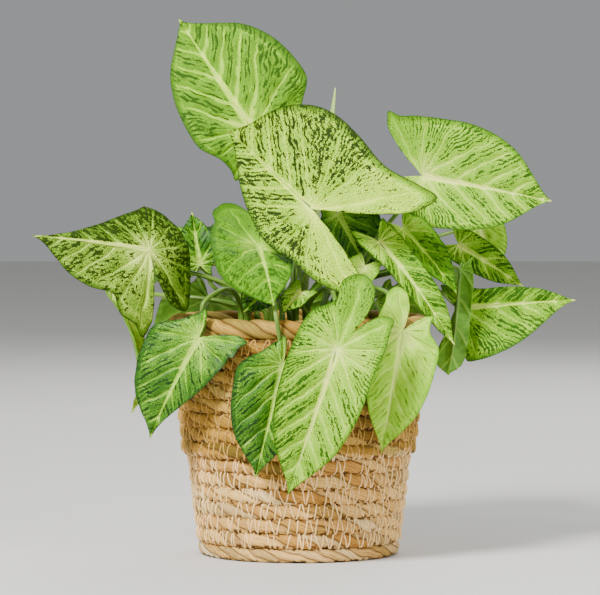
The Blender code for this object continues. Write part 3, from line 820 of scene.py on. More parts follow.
@dataclass(frozen=True)
class UndersideFinish:
    """Underside of a leaf: one soft green with lighter veins."""
    name: str = "leaf_underside"
    # The underside's own soft greens, darkened in part as painted shade of the plant's shaded inside
    flesh: Colour = tone(96, 148, 26)
    shade: Colour = tone(74, 122, 18)
    vein: Colour = tone(134, 178, 60)
    vein_band: Pair = (0.1, 0.02)
    midrib_band: Pair = (0.07, 0.02)
    vein_strength: float = 0.7
    cloud_noise: Grain = (2.5, 3.0)
    cloud_band: Pair = (0.35, 0.7)
    grain_noise: Grain = (12.0,)
    relief: Pair = (0.0002, 0.5)
    light_in: float = 0.12
    roughness: float = 0.6
    gloss: float = 0.3

    def build(self) -> Material:
        """Make the material, which reads the UV maps veins and flat.

        Returns:
            The material.
        """
        g = Shader(self.name)
        across_veins, along_vein, _ = g.split(g.uv("veins"))
        flat = g.uv("flat")
        gap = g.math("PINGPONG", across_veins, 0.5)
        band = g.math("MAXIMUM", g.step(gap, *self.vein_band), g.step(along_vein, *self.midrib_band))
        cloud = g.step(g.noise(flat, *self.cloud_noise), *self.cloud_band)
        colour = g.blend(cloud, self.flesh, self.shade)
        colour = g.blend(g.times(band, self.vein_strength), colour, self.vein)
        g.bump(g.noise(flat, *self.grain_noise), *self.relief)
        g.tissue(self.light_in)
        return g.finish(colour, self.roughness, self.gloss)


@dataclass(frozen=True)
class StemFinish:
    """Smooth waxy stem, streaked along its length."""
    name: str
    pale: Colour
    green: Colour
    streak_noise: Grain = (0.5, 9.0, 3.0)
    streak_band: Pair = (0.38, 0.62)
    relief: Pair = (0.0002, 0.5)
    light_in: float = 0.1
    roughness: float = 0.4
    gloss: float = 0.4

    def build(self) -> Material:
        """Make the material, which reads the UV map stem.

        Returns:
            The material.
        """
        g = Shader(self.name)
        along, round_it, _ = g.split(g.uv("stem"))
        streak = g.drawn(along, round_it, self.streak_noise)
        colour = g.blend(g.step(streak, *self.streak_band), self.green, self.pale)
        g.bump(streak, *self.relief)
        g.tissue(self.light_in)
        return g.finish(colour, self.roughness, self.gloss)


@dataclass(frozen=True)
class Whitewash:
    """Where the thin white paint of the basket's lower part ends, and how ragged its edge is."""
    border: float
    blur: float = 0.0015
    ragged: float = 0.014
    ragged_noise: Grain = (90.0,)
    dip: float = 0.016
    dip_place: float = -0.014
    dip_width: float = 0.014

    def share(self, g: Shader) -> Socket:
        """Share of paint at each point.

        Args:
            g: The material's shader.

        Returns:
            1 below the border and 0 above it.
        """
        here = g.here()
        x, y, z = g.split(here)
        away = g.math("DIVIDE", g.minus(x, self.dip_place), self.dip_width)
        bell = g.math("EXPONENT", g.times(g.times(away, away), -1.0))
        bell = g.times(bell, g.math("LESS_THAN", y, 0.0))
        level = g.plus(z, g.times(bell, self.dip))
        level = g.plus(level, g.times(g.swing(here, self.ragged_noise), self.ragged))
        return g.step(level, self.border + self.blur, self.border - self.blur)


@dataclass(frozen=True)
class RopeFinish:
    """Laid rope of flat dried fibre, natural above and whitewashed below.

    Each strand draws its own straw and paint. The paint is thin in places. The laps between the
    strands and the seams between the rows are darkened with painted shade, which has gaps in the seams.
    """
    name: str
    paint: Whitewash
    pitch: float
    straws: tuple[Colour, ...] = (
        tone(172, 122, 30), tone(218, 176, 76), tone(126, 88, 14), tone(194, 144, 44), tone(120, 96, 16),
        tone(236, 200, 104))
    paints: tuple[Colour, ...] = (
        tone(228, 170, 82), tone(246, 198, 114), tone(192, 134, 50), tone(240, 182, 94), tone(160, 116, 36),
        tone(252, 216, 148))
    # Colour of the painted shade in the laps between the strands and the seams between the rows
    groove: Colour = tone(84, 52, 14)
    thin_noise: Grain = (1.3, 5.0)
    thin_band: Pair = (0.28, 0.46)
    thin_coat: float = 0.35
    fibre_noise: Grain = (1.0, 13.0, 4.0, 0.65)
    fibre_shades: Pair = (0.5, 1.18)
    relief: Pair = (0.0008, 0.8)
    fibre_dullness: Pair = (0.85, 0.6)
    lap_width: float = 0.14
    lap_shade: float = 0.85
    seam_shade_band: Pair = (0.28, 0.1)
    gap_noise: Grain = (3.6, 260.0, 1.0)
    gap_band: Pair = (0.5, 0.6)
    gap_shade: float = 0.1
    gloss: float = 0.25

    def build(self) -> Material:
        """Make the material, which reads the UV map strand and Object coordinates.

        Returns:
            The material.
        """
        g = Shader(self.name)
        along, strand, _ = g.split(g.uv("strand"))
        _, _, z = g.split(g.here())
        pick = g.dice(g.math("FLOOR", strand))
        thin = g.drawn(along, strand, self.thin_noise)
        coat = g.times(self.paint.share(g), g.step(thin, *self.thin_band, self.thin_coat, 1.0))
        colour = g.blend(coat, g.even_ramp(pick, self.straws), g.even_ramp(pick, self.paints))
        fibre = g.drawn(along, strand, self.fibre_noise)
        colour = g.shaded(colour, g.step(fibre, *NOISE_BAND, *self.fibre_shades))
        # Painted shade: laps between strands and, with gaps, seams between rows darken towards groove
        side = g.math("PINGPONG", g.math("FRACT", strand), 0.5)
        lap_shadow = g.step(side, 0.0, self.lap_width, self.lap_shade, 0.0)
        level = g.math("PINGPONG", g.math("DIVIDE", z, self.pitch), 0.5)
        gaps = g.step(g.drawn(along, z, self.gap_noise), *self.gap_band, self.gap_shade, 1.0)
        seam = g.times(g.step(level, *self.seam_shade_band), gaps)
        colour = g.blend(g.math("MAXIMUM", lap_shadow, seam), colour, self.groove)
        g.bump(fibre, *self.relief)
        return g.finish(colour, g.step(fibre, *NOISE_BAND, *self.fibre_dullness), self.gloss)


@dataclass(frozen=True)
class GrainyFinish:
    """Grainy stuff of one colour, with others over it.

    grain is the noise that shades it and gives its relief. Each layer over the colour has a noise,
    the band of it where the layer comes in, how far it covers, and a colour. Whitewashed stuff has
    a paint and its painted colour. wear is a noise, a band of it and the roughness across that.
    """
    name: str
    colour: Colour
    grain: Grain
    relief: Pair
    roughness: float = 0.9
    gloss: float = 0.2
    shades: Pair = (1.0, 1.0)
    layers: tuple[tuple[Grain, Pair, float, Colour], ...] = ()
    paint: Whitewash | None = None
    painted: Colour = ()
    wear: tuple[Grain, Pair, Pair] | None = None

    def build(self) -> Material:
        """Make the material, which reads Object coordinates.

        Returns:
            The material.
        """
        g = Shader(self.name)
        here = g.here()
        colour, roughness = self.colour, self.roughness
        for layer, band, cover, over in self.layers:
            colour = g.blend(g.step(g.noise(here, *layer), *band, 0.0, cover), colour, over)
        if self.paint:
            colour = g.blend(self.paint.share(g), colour, self.painted)
        if self.wear:
            worn, band, dullness = self.wear
            roughness = g.step(g.noise(here, *worn), *band, *dullness)
        grain = g.noise(here, *self.grain)
        g.bump(grain, *self.relief)
        colour = g.shaded(colour, g.step(grain, *NOISE_BAND, *self.shades))
        return g.finish(colour, roughness, self.gloss)


SEWING_TWINE = GrainyFinish("sewing_twine", tone(206, 162, 82), painted=tone(255, 216, 148), grain=(700.0,),
                            relief=(0.0003, 0.6), shades=(0.75, 1.08), roughness=0.8, gloss=0.25)
CRUMBS = (260.0, 5.0, 0.7)
POTTING_MIX = GrainyFinish("potting_mix", tone(46, 34, 24), grain=CRUMBS, relief=(0.0012, 0.8),
                           layers=((CRUMBS, (0.35, 0.68), 1.0, tone(92, 70, 48)),
                                   ((900.0,), (0.66, 0.72), 0.6, tone(140, 112, 78))), roughness=0.95)
MINERAL_GRAIN = GrainyFinish("mineral_grain", tone(214, 208, 196), grain=(1500.0, 3.0),
                             relief=(0.0003, 0.6), shades=(0.78, 1.05))
SCUFFS = (160.0, 4.0, 0.7)
POT_PLASTIC = GrainyFinish("pot_plastic", tone(38, 38, 36), grain=(1200.0,), relief=(0.0001, 0.4),
                           layers=((SCUFFS, (0.5, 0.75), 0.4, tone(74, 72, 68)),),
                           wear=(SCUFFS, (0.35, 0.7), (0.42, 0.6)), gloss=0.4)


# Basket

# Foot row's paler paints: partly its own paler coat, partly painted light on its dimly lit, down-facing rope
FOOT_PAINTS = (tone(244, 196, 114), tone(254, 218, 150), tone(218, 168, 88), tone(250, 206, 128),
               tone(202, 158, 78), tone(255, 232, 182))
RIM_STRAWS = (tone(202, 156, 58), tone(228, 190, 92), tone(174, 128, 34), tone(216, 174, 76),
              tone(146, 118, 30), tone(240, 208, 112))


@dataclass
class Rope:
    """One closed turn of laid rope round the basket, as a rule for its surface.

    number shifts its UV map away from those of the other ropes. The lay wanders by the wander
    strengths, a slow one and a finer one, at their waves; plump is how much the strands differ and
    swelling how much the rope's thickness does. square flattens the rope's side, and crowding
    draws its faces to the outer side.
    """
    number: int
    centre_radius: float
    centre_height: float
    depth: float
    height: float
    turns: int
    strands: int = 3
    groove: float = 0.34
    flatness: float = 0.94
    square: float = 0.5
    seed: int = 1
    seed_step: float = 7.3
    wanders: Pair = (1.1, 0.35)
    wander_waves: Pair = (3.0, 3.1)
    plump: float = 0.06
    plump_steps: Pair = (3.7, 5.1)
    swelling: float = 0.035
    swelling_waves: float = 9.0
    swelling_step: float = 3.0
    crowding: float = 0.35
    chart_step: float = 100.0

    def wander(self, angle: float) -> float:
        """Uneven lay of the rope, which closes on itself.

        Args:
            angle: Angle round the basket.

        Returns:
            The further turn of the strands, in radians.
        """
        slow, fine = self.wander_waves
        where = Vector((math.cos(angle) * slow, math.sin(angle) * slow, self.seed * self.seed_step))
        return self.wanders[0] * noise.noise(where) + self.wanders[1] * noise.noise(where * fine)

    def lay(self, angle: float, around: float) -> float:
        """Strand count at an angle round the basket and round the rope; whole numbers lie in laps."""
        return (around + self.turns * angle + self.wander(angle)) * self.strands / math.tau

    def surface(self, angle: float, around: float, lift: float = 0.0) -> Vector:
        """Point of the rope's surface.

        Args:
            angle: Angle round the basket.
            around: Angle round the rope, 0 outwards and a quarter turn upwards.
            lift: Distance out of the surface.

        Returns:
            The point.
        """
        lay = self.lay(angle, around)
        across = (lay % 1.0) * 2 - 1
        swell = math.sqrt(max(0.0, 1 - (across * self.flatness) ** 2))
        strand_step, rope_step = self.plump_steps
        strand = Vector((math.floor(lay) * strand_step, self.seed * rope_step, 0.0))
        size = 1 - self.groove * (1 - swell) + self.plump * noise.noise(strand) * swell
        where = ring_point(self.swelling_waves, angle, around + self.seed * self.swelling_step)
        size += self.swelling * noise.noise(where)
        facing = math.cos(around)
        out = math.copysign(abs(facing) ** self.square, facing) * (self.depth * size + lift)
        up = max(math.sin(around) * (self.height * size + lift), -self.centre_height)
        return ring_point(self.centre_radius + out, angle, self.centre_height + up)

    def build(self, name: str, columns: int, rows: int, finish: Material) -> Piece:
        """Make the rope's mesh, with more of its faces on the outer side.

        Args:
            name: Name of the piece.
            columns: Faces round the basket.
            rows: Faces round the rope.
            finish: Material of the rope.

        Returns:
            The new piece, with the UV map strand: centimetres along the rope, strands across it.
        """
        def angles(column: int, row: int) -> Pair:
            """Angle round the basket, and round the rope."""
            turn = row / rows * 2 - 1
            return math.tau * column / columns, math.pi * mixed(turn, turn ** 3, self.crowding)

        def place(column: int, row: int) -> Vector:
            """Vertex on the rope's surface, which closes on itself both ways."""
            return self.surface(*angles(column % columns, row % rows))

        def chart(column: int, row: int, _: int) -> dict[str, Pair]:
            """Length along the rope and the strand count."""
            (angle, around), shift = angles(column, row), self.chart_step * self.number
            return {"strand": (angle * self.centre_radius * CENTIMETRES, self.lay(angle, around) + shift)}

        return formed(name, columns, rows, place, [finish], chart)


@dataclass
class Basket:
    """Basket planter: rope rows sewn on each other, a twisted rim and a coiled floor.

    A stitch's bends stand off their even places by up to bend_scatter of a stitch, and its top
    lies within top_band of the way to the next bend. Its rising and falling legs weigh between
    two values, or are thin ones by a chance.
    """
    foot_radius: float = 0.0575
    seam_radii: Pair = (0.0648, 0.0674)
    rim_radius: float = 0.0755
    height: float = 0.1375
    lower_rows: int = 7
    upper_rows: int = 8
    rim_rope_radius: float = 0.0058
    rim_groove: float = 0.4
    rim_square: float = 0.9
    rim_number: int = 40
    rim_seed: int = 31
    rope_depth: float = 0.0041
    row_turns: int = 6
    row_overlap: float = 0.6
    foot_turns: int = 7
    foot_strands: int = 4
    foot_groove: float = 0.4
    foot_overlap: float = 0.5
    first_seed: int = 2
    rim_turns: int = 9
    wash_rise: float = 0.0015
    stitches: int = 74
    stitch_seed: int = 400
    bend_scatter: float = 0.34
    top_band: Pair = (0.2, 0.6)
    rising: Pair = (0.8, 1.2)
    rising_thin: Pair = (0.16, 0.25)
    falling: Pair = (0.45, 1.0)
    falling_thin: Pair = (0.35, 0.2)
    leg_points: int = 6
    leg_reach: float = 80
    twine_radius: float = 0.00046
    twine_sides: int = 5
    twine_lifts: Pair = (-1.6, 0.5)
    twine_thinning: float = 0.6
    floor_rings: int = 7
    floor_number: int = 60
    floor_seed: int = 50
    floor_rise: float = 1.02
    floor_overlap: float = 0.55
    floor_faces: tuple[int, int, int] = (200, 24, 12)
    row_faces: tuple[int, int] = (400, 18)
    rim_faces: tuple[int, int] = (560, 26)
    pitch: float = field(init=False)

    def __post_init__(self) -> None:
        """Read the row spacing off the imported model."""
        low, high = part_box("basket_lower")[1].z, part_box("basket_upper")[0].z
        self.pitch = (low + high) / 2 / self.lower_rows
        self.paint = Whitewash(border=self.lower_rows * self.pitch + self.wash_rise)

    def radius(self, height: float) -> float:
        """Outer radius over the rope crests.

        Args:
            height: Height above the foot.

        Returns:
            The radius there.
        """
        seam = self.lower_rows * self.pitch
        below, above = self.seam_radii
        if height < seam:
            return mixed(self.foot_radius, below, height / seam)
        return mixed(above, self.rim_radius, (height - seam) / (self.height - seam))

    def row_rope(self, row: int) -> Rope:
        """Rope of one row.

        Args:
            row: Number of the row, counted from the foot.

        Returns:
            The rope; the foot's has one strand more.
        """
        crest = (row + 0.5) * self.pitch
        rope = Rope(number=row, centre_radius=self.radius(crest) - self.rope_depth, centre_height=crest,
                    depth=self.rope_depth, height=self.pitch * self.row_overlap,
                    turns=self.row_turns + row % 2, seed=row + self.first_seed)
        if row == 0:
            rope.turns, rope.strands, rope.groove = self.foot_turns, self.foot_strands, self.foot_groove
            rope.height = self.pitch * self.foot_overlap
        return rope

    def rim_rope(self) -> Rope:
        """Thick twisted rope of the rim.

        Returns:
            The rope.
        """
        radius = self.rim_rope_radius
        return Rope(self.rim_number, self.rim_radius - radius, self.height - radius, radius, radius,
                    self.rim_turns, groove=self.rim_groove, square=self.rim_square, seed=self.rim_seed)

    def stitch_spots(self, row: int) -> list[Point]:
        """Points of a row's zigzag.

        Args:
            row: Number of the row.

        Returns:
            Angle round the basket, angle round the rope and weight of the twine at each point.
        """
        def weight(thin: Pair, full: Pair) -> float:
            """Weight of a leg, thin by a chance and else within the full ones."""
            return thin[1] if draw.random() < thin[0] else draw.uniform(*full)

        draw = random.Random(self.stitch_seed + row)
        spots = []
        step = math.tau / self.stitches
        bends = [step * (stitch + draw.uniform(-self.bend_scatter, self.bend_scatter))
                 for stitch in range(self.stitches)]
        bends.append(bends[0] + math.tau)
        for start, end in zip(bends, bends[1:]):
            top = mixed(start, end, draw.uniform(*self.top_band))
            rise = weight(self.rising_thin, self.rising)
            fall = weight(self.falling_thin, self.falling)
            for foot, head, first, heft in ((start, top, -self.leg_reach, rise),
                                            (top, end, self.leg_reach, fall)):
                for point in range(self.leg_points):
                    share = point / self.leg_points
                    spots.append((mixed(foot, head, share), math.radians(mixed(first, -first, share)), heft))
        return spots

    def sew(self, row: int, finish: Material) -> Piece:
        """Twine that zigzags over one row, from the gap below it to the gap above it.

        Args:
            row: Number of the row, counted from the foot.
            finish: Material of the twine.

        Returns:
            The new piece, one closed loop of twine.
        """
        rope = self.row_rope(row)
        spots = self.stitch_spots(row)
        count = len(spots)
        route = [rope.surface(angle, around, self.twine_radius * mixed(*self.twine_lifts, min(heft, 1.0)))
                 for angle, around, heft in spots]
        ahead = [(route[(index + 1) % count] - route[index - 1]).normalized() for index in range(count)]

        def place(column: int, side_number: int) -> Vector:
            """Vertex on the twine's ring.

            Args:
                column: Point of the zigzag.
                side_number: Side of the twine.

            Returns:
                The vertex's place.
            """
            index = column % count
            angle, around, heft = spots[index]
            out = ring_point(math.cos(around), angle, math.sin(around))
            side = ahead[index].cross(out).normalized()
            out = side.cross(ahead[index])
            turn = math.tau * (side_number % self.twine_sides) / self.twine_sides
            radius = self.twine_radius * mixed(self.twine_thinning, 1.0, heft)
            return route[index] + (side * math.cos(turn) + out * math.sin(turn)) * radius

        return formed(f"stitches_row_{row + 1:02d}", count, self.twine_sides, place, [finish])

    def build(self) -> None:
        """Make the rows, the rim, the floor and the stitches."""
        rope_finish = RopeFinish("laid_rope", self.paint, self.pitch).build()
        foot_finish = RopeFinish("foot_rope", self.paint, self.pitch, paints=FOOT_PAINTS).build()
        rim_finish = RopeFinish("rim_rope", self.paint, 2 * self.height, straws=RIM_STRAWS).build()
        twine = replace(SEWING_TWINE, paint=self.paint).build()
        for row in range(self.lower_rows + self.upper_rows):
            painted = row < self.lower_rows
            node = "basket_lower" if painted else "basket_upper"
            slot = "whitewashed_rope" if painted else "straw_rope"
            finish = rope_finish if row else foot_finish
            coil = self.row_rope(row).build(f"rope_row_{row + 1:02d}", *self.row_faces, finish)
            dress(coil, slot, node)
            if row > 0:
                dress(self.sew(row, twine), slot, node)
        rim = self.rim_rope().build("rope_rim", *self.rim_faces, rim_finish)
        dress(rim, "straw_rope", "basket_upper")
        dress(self.build_floor(rope_finish), "whitewashed_rope", "basket_lower")

    def build_floor(self, finish: Material) -> Piece:
        """Flat coil that closes the basket's foot, as ropes of shrinking radius in one mesh.

        Args:
            finish: Material of the rope.

        Returns:
            The new piece.
        """
        bm = bmesh.new()
        inner = self.foot_radius - 2 * self.rope_depth
        spacing = inner / self.floor_rings
        columns, fewer, rows = self.floor_faces
        for ring in range(self.floor_rings):
            rope = Rope(number=self.floor_number + ring, centre_radius=inner - spacing * (ring + 0.5),
                        centre_height=self.rope_depth * self.floor_rise, depth=spacing * self.floor_overlap,
                        height=self.rope_depth, turns=max(1, self.row_turns - ring),
                        seed=self.floor_seed + ring)
            turn = rope.build("coil", columns - fewer * ring, rows, finish)
            bm.from_mesh(turn.data)
            bpy.data.meshes.remove(turn.data, do_unlink=True)
        return add_piece("rope_floor", bm, [finish])


# Pot and soil

@dataclass
class NurseryPot:
    """Thin moulded pot inside the basket."""
    wall: float = 0.0012
    lip: float = 0.0015
    lip_height: float = 0.005
    foot_radius: float = 0.0465
    top_radius: float = 0.0625
    edge: float = 0.0003
    steps: int = 96

    def build(self) -> None:
        """Make the pot from its profile."""
        low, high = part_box("nursery_pot")
        foot, top, edge = low.z, high.z, self.edge
        lip_foot = top - self.lip_height
        lip_radius = self.top_radius + self.lip
        inner_foot, inner_top = self.foot_radius - self.wall, self.top_radius - self.wall
        wall_there = mixed(self.foot_radius, self.top_radius, (lip_foot - foot) / (top - foot))
        profile = [(0.0, foot + self.wall), (inner_foot, foot + self.wall), (inner_top, top - edge),
                   (inner_top + edge, top), (lip_radius - edge, top), (lip_radius, top - edge),
                   (lip_radius, lip_foot + edge), (lip_radius - edge, lip_foot), (wall_there, lip_foot),
                   (self.foot_radius, foot + edge), (self.foot_radius - edge, foot), (0.0, foot)]
        pot = spun("moulded_pot", profile, self.steps, POT_PLASTIC.build())
        dress(pot, "dark_pot_plastic", "nursery_pot")


@dataclass
class SoilBed:
    """Potting mix with an uneven top, loose crumbs and mineral grains on it.

    bumps are the strengths and waves per metre of the layers of its relief. The bits lie within
    their share of its radius, sunk in by their own, and are squashed within the squashes.
    """
    level: float = 0.125
    relief: float = 0.0016
    bumps: tuple[Pair, ...] = ((0.6, 60), (0.3, 210), (0.2, 600))
    foot_share: float = 0.76
    rings: int = 46
    sectors: int = 120
    crumbs: int = 420
    crumb_sizes: Pair = (0.0006, 0.0017)
    crumb_seed: int = 71
    grains: int = 70
    grain_sizes: Pair = (0.0006, 0.0013)
    grain_seed: int = 72
    scatter_share: float = 0.97
    bit_rise: float = 0.3
    squashes: tuple[Pair, ...] = ((0.6, 1.2), (0.6, 1.2), (0.5, 0.9))
    bottom: float = field(init=False)
    edge: float = field(init=False)

    def __post_init__(self) -> None:
        """Read the soil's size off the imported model."""
        low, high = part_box("soil")
        self.bottom = low.z
        self.edge = high.x

    def height(self, x: float, y: float) -> float:
        """Height of the soil's top at a point."""
        bumps = sum(strength * noise.noise(Vector((x, y, 0.0)) * waves) for strength, waves in self.bumps)
        return self.level + self.relief * bumps

    def build(self) -> None:
        """Make the soil, its crumbs and its grains."""
        def place(column: int, row: int) -> Vector:
            """Vertex on the top, on the wall or on the underside.

            Args:
                column: Sector of the bed.
                row: Ring of the top, then the foot of the wall and the middle of the underside.

            Returns:
                The vertex's place.
            """
            angle = math.tau * (column % self.sectors) / self.sectors
            if row <= self.rings:
                spot = ring_point(self.edge * row / self.rings, angle, 0.0)
                spot.z = self.height(spot.x, spot.y)
                return spot
            radius = self.edge * self.foot_share if row == self.rings + 1 else 0.0
            return ring_point(radius, angle, self.bottom)

        mix, grain = POTTING_MIX.build(), MINERAL_GRAIN.build()
        bed = formed("soil_bed", self.sectors, self.rings + 2, place, [mix], turn_out=True)
        dress(bed, "potting_soil", "soil")
        for bits in (self.scatter("soil_crumbs", self.crumbs, self.crumb_sizes, self.crumb_seed, mix),
                     self.scatter("soil_grains", self.grains, self.grain_sizes, self.grain_seed, grain)):
            dress(bits, "potting_soil")

    def scatter(self, name: str, count: int, sizes: Pair, seed: int,
                finish: Material) -> Piece:
        """Loose bits on the soil, each a squashed and turned ball.

        Args:
            name: Name of the piece.
            count: Number of bits.
            sizes: Smallest and largest radius.
            seed: Seed of the draw.
            finish: Material of the bits.

        Returns:
            The bits as one piece.
        """
        draw = random.Random(seed)
        bm = bmesh.new()
        for _ in range(count):
            radius = self.edge * self.scatter_share * math.sqrt(draw.random())
            spot = ring_point(radius, draw.uniform(0, math.tau), 0.0)
            size = draw.uniform(*sizes)
            spot.z = self.height(spot.x, spot.y) + size * self.bit_rise
            turn = Matrix.Rotation(draw.uniform(0, math.tau), 4, Vector((draw.random(), draw.random(), 1)))
            squash = Matrix.Diagonal([draw.uniform(*band) for band in self.squashes] + [1])
            bmesh.ops.create_icosphere(bm, subdivisions=1, radius=size,
                                       matrix=Matrix.Translation(spot) @ turn @ squash)
        return add_piece(name, bm, [finish])


# Leaves

@dataclass(frozen=True)
class LeafShape:
    """One leaf: its blade from the petiole's end (at) to its tip, in millimetres.

    face points out of the upper side. Pairs are for the left and the right half, as seen on the
    upper side with the tip up: half width, how early it narrows to the tip, how far the margin
    stands out before the lobe, lobe length, how broad and round it is, its angle from the tip's
    direction, fold up from the midrib, the further turn to the margin and how much paler it is.
    bend is how far the blade bends down to its tip and to its lobes, and via gives points on the
    petiole's way. Lengths are shares of the blade's length.
    """
    name: str
    crown: int
    style: LeafStyle
    at: Point
    tip: Point
    face: Point = (0, -1, 0)
    width: Pair = (0.42, 0.42)
    taper: Pair = (1.0, 1.0)
    shoulder: Pair = (0.8, 0.8)
    lobe: Pair = (0.55, 0.55)
    breadth: Pair = (1.0, 1.0)
    spread: Pair = (135, 135)
    fold: Pair = (16, 16)
    curl: Pair = (-12, -12)
    bend: Pair = (25, 20)
    twist: float = 0.0
    wave: float = 0.012
    tint: Pair = (0.0, 0.0)
    via: tuple[Point, ...] = ()


# Outline of half a blade: (half width, height) from the tip down, for a half width of one half
FRONT_OUTLINE = ((0.0, 1.005), (0.028, 0.96), (0.082, 0.905), (0.20, 0.81), (0.35, 0.67), (0.455, 0.48),
                 (0.50, 0.28), (0.50, 0.10))
# The lobe behind the petiole: (angle from the lobe's own, share of the lobe's length)
LOBE_OUTLINE = ((-9, 0.87), (-1.5, 1.0), (4, 0.88), (8, 0.60), (10, 0.30))
SHOULDER_TURN = -25
SQUARE_TURN = 90
# A lobe that turns further back than this gets one more point on its way, and a lobe that turns
# back less than this starts one point sooner
LONG_TURN = 150
SHORT_TURN = 105
HALF_WIDTH = 0.5
VEIN_SLOPE = 0.55
VEIN_BOW = (0.55, 0.3)
# How steeply the coloured side veins run to the tip, how much they curve that way, and how much of
# that curve the veins of the lobes have
VEIN_RISE = 1.15
VEIN_CURVE = 0.5
LOBE_CURVE = 0.13
# How a petiole meets its blade: back towards the crown, under the blade and behind it
ELBOW_LEAN = (0.7, 0.7, 0.1)
ELBOW_REACH = 0.009
# A petiole's foot and its neck over the soil's level; it stands straight between them
STEM_FOOT = 0.001
STEM_NECK = 0.012
ROUTE_SPACING = 0.0025


def polar(angle: float, reach: float) -> Vector:
    """Flat point at an angle from the tip's direction, in degrees, and a reach from the petiole."""
    return Vector((reach * math.sin(math.radians(angle)), reach * math.cos(math.radians(angle))))


def half_outline(leaf: LeafShape, side: int) -> list[Vector]:
    """Control points of one half's margin.

    Args:
        leaf: The leaf's shape.
        side: Half of the blade, 0 left and 1 right.

    Returns:
        Flat (x, y) points in shares of the leaf's length, from the tip to the sinus.
    """
    width = leaf.width[side] / HALF_WIDTH
    spread = leaf.spread[side]
    shoulder = leaf.shoulder[side] * leaf.lobe[side]
    points = [Vector((x * width, y ** leaf.taper[side])) for x, y in FRONT_OUTLINE]
    if spread < SHORT_TURN:
        points.pop()
    if spread > LONG_TURN:
        halfway = (SQUARE_TURN + spread + SHOULDER_TURN) / 2
        points.append(polar(halfway, min(leaf.width[side], shoulder)))
    points.append(polar(spread + SHOULDER_TURN, shoulder))
    breadth = leaf.breadth[side]
    points += [polar(spread + turn * breadth, leaf.lobe[side] * share) for turn, share in LOBE_OUTLINE]
    return points


def flat_point(outline: Sequence[Vector], along: float, across: float) -> Vector:
    """Flat point of a half blade.

    Args:
        outline: Control points of the half's margin.
        along: Share of the way along the margin, from the tip to the sinus.
        across: Share of the way from the midrib out, along a side vein.

    Returns:
        The point.
    """
    margin = spline_point(outline, along)
    if along == 0.0:
        return margin
    root = Vector((0.0, max(0.0, margin.y - VEIN_SLOPE * abs(margin.x))))
    control = Vector((VEIN_BOW[0] * margin.x, root.y + VEIN_BOW[1] * (margin.y - root.y)))
    if root.y == 0.0:
        control = (root + margin) / 2
    return root * (1 - across) ** 2 + control * 2 * across * (1 - across) + margin * across ** 2


def stem_base(socket: Vector) -> list[Vector]:
    """First two points of a petiole that stands in a socket: its foot and its neck."""
    return [Vector((socket.x, socket.y, SoilBed.level + rise)) for rise in (STEM_FOOT, STEM_NECK)]


class LeafFrame:
    """Carries flat points of a leaf to their folded and bent place in the world."""

    def __init__(self, leaf: LeafShape) -> None:
        """Fit the bent blade between the leaf's two points.

        Args:
            leaf: The leaf's shape.
        """
        self.leaf = leaf
        at, tip = mm(*leaf.at), mm(*leaf.tip)
        bent_tip = self.bent(Vector((0.0, 1.0)), 0.0)
        chord = Vector((0.0, bent_tip.y, bent_tip.z)).normalized()
        self.scale = (tip - at).length / bent_tip.length
        along = (tip - at).normalized()
        face = Vector(leaf.face)
        face = (face - along * face.dot(along)).normalized()
        world = Matrix((along.cross(face), along, face)).transposed()
        local = Matrix((Vector((1, 0, 0)), chord, Vector((0, -chord.z, chord.y))))
        self.turn = world @ local
        self.at = at
        self.along = along
        self.face = face

    def bent(self, flat: Vector, lift: float) -> Vector:
        """Folded and bent place of a flat point.

        Args:
            flat: The flat point.
            lift: How far it is raised off the blade.

        Returns:
            Its place in the blade's own frame, in shares of the leaf's length.
        """
        leaf = self.leaf
        side = 1 if flat.x > 0 else 0
        fold = math.radians(leaf.fold[side])
        rate = math.radians(leaf.curl[side]) / HALF_WIDTH
        out, up = arc(abs(flat.x), fold, rate)
        out = math.copysign(out, flat.x)
        up += lift
        twist = math.radians(leaf.twist) * flat.y
        out, up = (out * math.cos(twist) - up * math.sin(twist),
                   out * math.sin(twist) + up * math.cos(twist))
        bend = math.radians(leaf.bend[0] if flat.y > 0 else leaf.bend[1])
        run, drop = arc(abs(flat.y), 0.0, bend)
        slope = bend * abs(flat.y)
        forward = math.copysign(1.0, flat.y)
        return Vector((out, forward * (run + up * math.sin(slope)), up * math.cos(slope) - drop))

    def place(self, flat: Vector, lift: float = 0.0) -> Vector:
        """World place of a flat point, raised by a lift in metres."""
        return self.at + self.turn @ (self.bent(flat, lift / self.scale) * self.scale)


